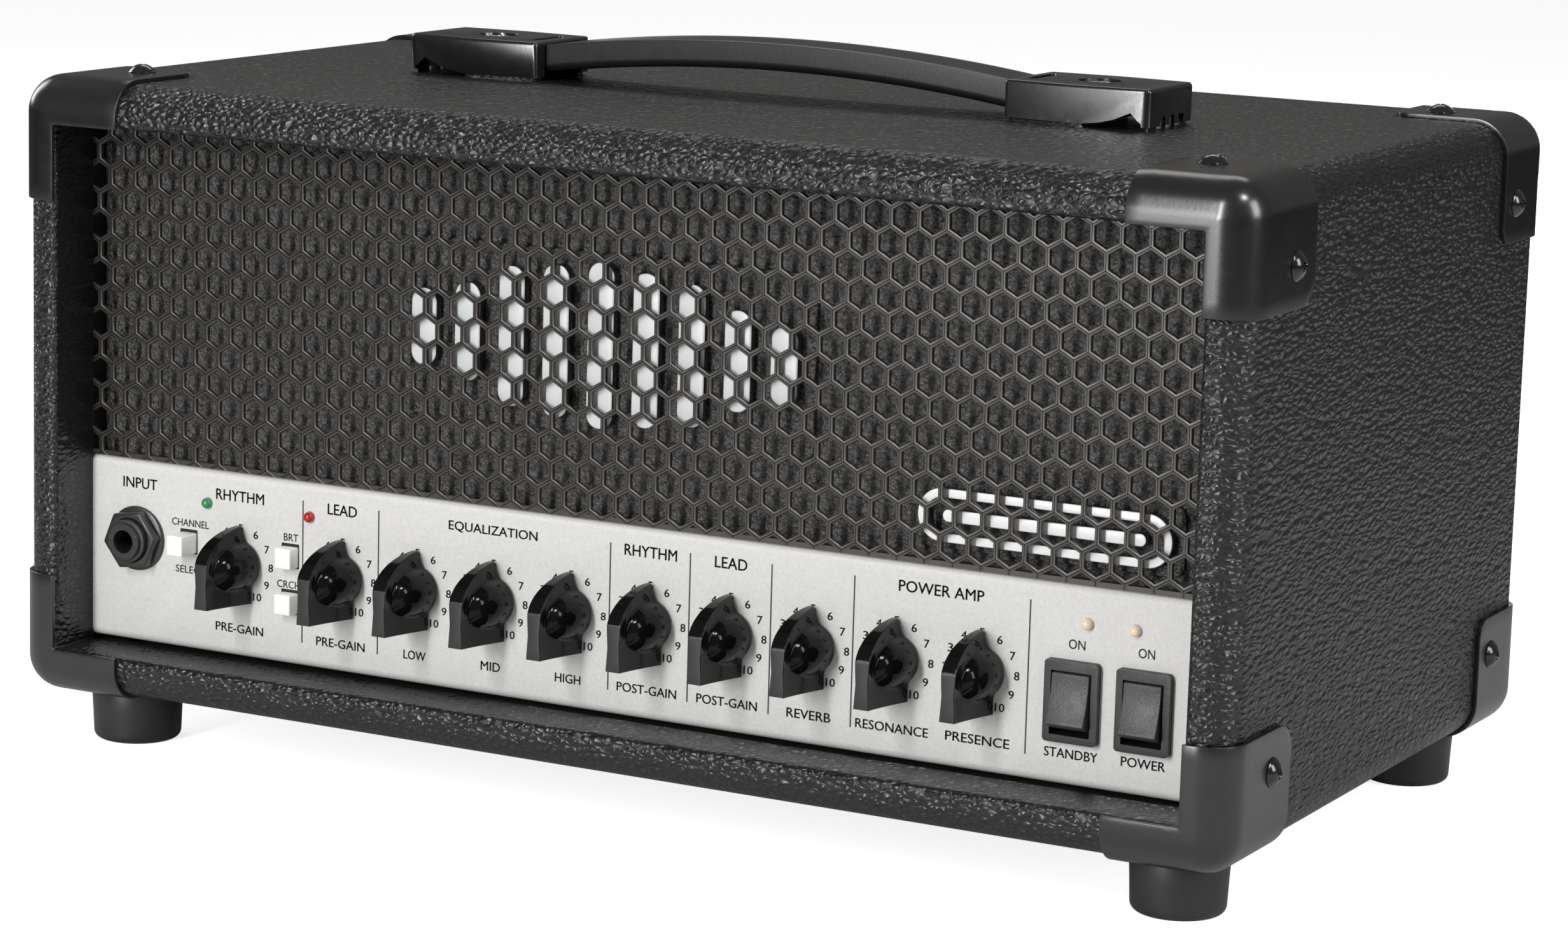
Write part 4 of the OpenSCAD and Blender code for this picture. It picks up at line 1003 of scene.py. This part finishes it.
def printing():
    face = PANEL_Y - 0.00004

    def at(x, z):
        return move(x * MM, face, OPEN_Z + z * MM) @ to_front()

    dark, grey = [], []
    head, label, small = 2.95, 2.45, 2.05
    titles = (("INPUT", -153.0, 45.95, 11.4), ("RHYTHM", -119.5, 45.95, 15.8), ("LEAD", -86.0, 45.95, 9.4),
              ("EQUALIZATION", -38.2, 45.9, 27.6), ("RHYTHM", 10.1, 46.0, 15.7), ("LEAD", 34.0, 46.0, 9.5),
              ("POWER AMP", 94.45, 46.35, 23.9))
    names = (("PRE-GAIN", -119.45, 8.95, 15.7), ("PRE-GAIN", -86.2, 8.95, 15.7), ("LOW", -62.3, 8.95, 7.0),
             ("MID", -38.3, 9.1, 6.0), ("HIGH", -14.3, 9.0, 7.8), ("POST-GAIN", 9.7, 9.1, 17.9),
             ("POST-GAIN", 33.7, 9.2, 17.9), ("REVERB", 57.75, 9.1, 12.7), ("RESONANCE", 81.7, 9.1, 20.7),
             ("PRESENCE", 105.9, 9.4, 17.9), ("STANDBY", 131.8, 9.3, 14.6), ("POWER", 151.45, 9.6, 11.9))
    for texts, cap, out in ((titles, head, dark), (names, label, dark),
                            ((("ON", 132.35, 37.4, 4.5), ("ON", 151.2, 37.5, 4.4)), label, grey),
                            ((("CHANNEL", -136.0, 36.65, 12.3), ("SELECT", -135.9, 23.5, 9.9),
                              ("BRT", -102.6, 36.55, 4.7), ("CRCH", -103.3, 23.4, 7.5)), small, grey)):
        for text, x, z, width in texts:
            out.append((word_mesh(text, width * MM, cap * MM), at(x, z), 0))
    for x in (-98.75, -74.25, -2.0, 21.95, 46.0, 69.9, 119.25):
        dark.append((sheet(0.4 * MM, 39.6 * MM), at(x, 27.5), 0))
    widths = {1: 0.75, 10: 2.6}
    digits = [word_mesh(str(i), widths.get(i, 1.45) * MM, 2.15 * MM) for i in range(11)]
    for name in KNOBS:
        lo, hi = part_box(name + "_knob")
        x, z = (lo.x + hi.x) / 2 / MM, (lo.z + KNOB_TAIL - OPEN_Z) / MM
        for i, digit in enumerate(digits):
            a = math.radians(-150 + 30 * i)
            aside = 0.6 if i == 10 else 0
            dark.append((digit, at(x + DIAL_R * math.sin(a) + aside, z + DIAL_R * math.cos(a)), 0))
    for name, parts, key in (("panel_print", dark, "print_dark"), ("panel_print_light", grey, "print_grey")):
        mesh = joined(name, parts)
        mesh.materials.append(M[key])
        link_piece(name, mesh, "panel")


# ---------------------------------------------------------------- rear
def rear_sockets():
    lo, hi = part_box("rear_jack_nuts")
    turn = Matrix.Rotation(-math.pi / 2, 4, "X")
    both = socket_parts(0.0079, 0.001, 0.0023)
    parts = [(part, move(x, lo.y, (lo.z + hi.z) / 2) @ turn, 0)
             for x in (-0.04, -0.01, 0.04, 0.07, 0.1) for part in both]
    link_piece("rear_nuts", joined("rear_nuts", parts), "nut_metal", replaces=["rear_jack_nuts"])


def valve_insides():
    """A grey plate between two mica discs in each valve."""
    parts, y = [], 0.034
    for node, length in (("preamp_valves", 0.030), ("power_valves", 0.046)):
        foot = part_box(node)[0].z + 0.006
        xs = (-0.142, -0.104, -0.066) if node == "preamp_valves" else (-0.022, 0.018)
        plate = baked(prism(rounded(0.011, 0.007, 0.003), 0, length, "plate"), edge_bevel(0.0003, 1))
        disc = lathe([(0, 0), (0.0085, 0), (0.0085, 0.0004), (0, 0.0004)], 32, "mica")
        for x in xs:
            parts.append((plate, move(x, y, foot), 0))
            parts += [(disc, move(x, y, foot + h), 1) for h in (-0.0004, length)]
    link_piece("valve_plates", joined("valve_plates", parts), "pot_metal", mats=("electrode", "ceramic"))


for build in (covering, protectors, corner_screws, feet, handle, grille, backing, emblem, badge, knobs,
              buttons, rockers, lamps, front_jack, printing, rear_sockets, valve_insides):
    build()

DRESSED = (
    ("board", 0.0002, "top_board", "bottom_board", "left_board", "right_board"),
    ("chassis", 0.0002, "chassis"),
    ("panel", 0.0, "control_panel"),
    ("black_plastic", 0.0003, "push_switches", "mains_inlet", "fuse_holder"),
    ("black_plastic", 0.0002, "rear_jacks"),
    ("pot_metal", 0.0002, "potentiometers"),
    ("pcb", 0.0002, "circuit_board"),
    ("components", 0.0004, "board_components"),
    ("valve_glass", 0.0, "preamp_valves", "power_valves"),
    ("ceramic", 0.0004, "valve_sockets"),
    ("transformer", 0.0004, "mains_transformer", "output_transformer"),
    ("rear_metal", 0.00015, "rear_vent", "rear_panel"),
    ("black_screw", 0.0003, "chassis_screws"))

for key, bevel, *nodes in DRESSED:
    for node in nodes:
        dress(node, key, bevel)


# ---------------------------------------------------------------- stage
FLOOR_SIZE = 28.0


def stage():
    """A pale floor under a dim, slightly warm world."""
    mesh = sheet(FLOOR_SIZE, FLOOR_SIZE, "floor")
    floor = bpy.data.objects.new("floor", mesh)
    scene.collection.objects.link(floor)
    n = Nodes("floor_pale")
    n.set(Base_Color=(0.86, 0.86, 0.86, 1), Roughness=0.9, Specular_IOR_Level=0.1,
          Emission_Color=(1, 1, 1, 1), Emission_Strength=0.8)
    # reflections and bounced light see a greyer floor than the camera does, with a painted pool of light:
    # pale near the middle and dark further out
    away = n.add("ShaderNodeVectorMath", operation="LENGTH")
    n.link(n.coords, away.inputs[0])
    dull = n.add("ShaderNodeBsdfDiffuse")
    # painted pool of light: the floor's colour for reflections falls from pale to dark with distance from
    # the middle
    painted_pool_of_light = n.range(away.outputs["Value"], 0, 1, 0.35, 1.05)
    n.link(n.mix(painted_pool_of_light, (0.74, 0.73, 0.72), (0.04, 0.04, 0.04)), dull.inputs["Color"])
    pick = n.add("ShaderNodeMixShader")
    path = n.add("ShaderNodeLightPath")
    n.link(path.outputs["Is Camera Ray"], pick.inputs[0])
    n.link(dull.outputs[0], pick.inputs[1])
    n.link(n.shader.outputs[0], pick.inputs[2])
    n.link(pick.outputs[0], n.tree.nodes["Material Output"].inputs["Surface"])
    mesh.materials.append(n.mat)

    world = bpy.data.worlds.new("studio")
    scene.world = world
    world.use_nodes = True
    background = world.node_tree.nodes["Background"]
    background.inputs["Color"].default_value = (1.0, 0.975, 0.95, 1)
    background.inputs["Strength"].default_value = 0.14


def area(name, place, target, size, power, tint=(1, 1, 1)):
    """A rectangular light at a place, turned to a target, in metres and watts."""
    data = bpy.data.lights.new(name, "AREA")
    data.shape, data.size, data.size_y = "RECTANGLE", size[0], size[1]
    data.energy, data.color = power, tint
    lamp_object = bpy.data.objects.new(name, data)
    scene.collection.objects.link(lamp_object)
    aim = (Vector(target) - Vector(place)).to_track_quat("-Z", "Y")
    lamp_object.matrix_world = Matrix.Translation(place) @ aim.to_matrix().to_4x4()


stage()
area("key", (-0.22, -1.5, 0.63), (0.02, -0.1, 0.12), (0.16, 1.24), 19)
area("front", (-0.2, -0.9, 0.17), (0.0, -0.1, 0.14), (0.3, 0.32), 1.3)
area("top", (-0.35, 0.85, 1.3), (0.0, -0.05, 0.1), (1.1, 0.5), 4, (1, 0.98, 0.95))
area("back", (-0.5, 1.5, 0.09), (0.0, 0.1, 0.09), (0.8, 0.17), 6)
area("right", (1.5, -0.1, 0.7), (0.1, 0.0, 0.1), (0.5, 0.9), 12, (0.95, 0.97, 1))
area("left", (-1.5, 0.3, 0.7), (-0.1, 0.0, 0.1), (0.5, 0.9), 8)
area("glint", (0.95, -0.42, 1.38), (0.15, -0.1, 0.15), (0.22, 0.22), 6)
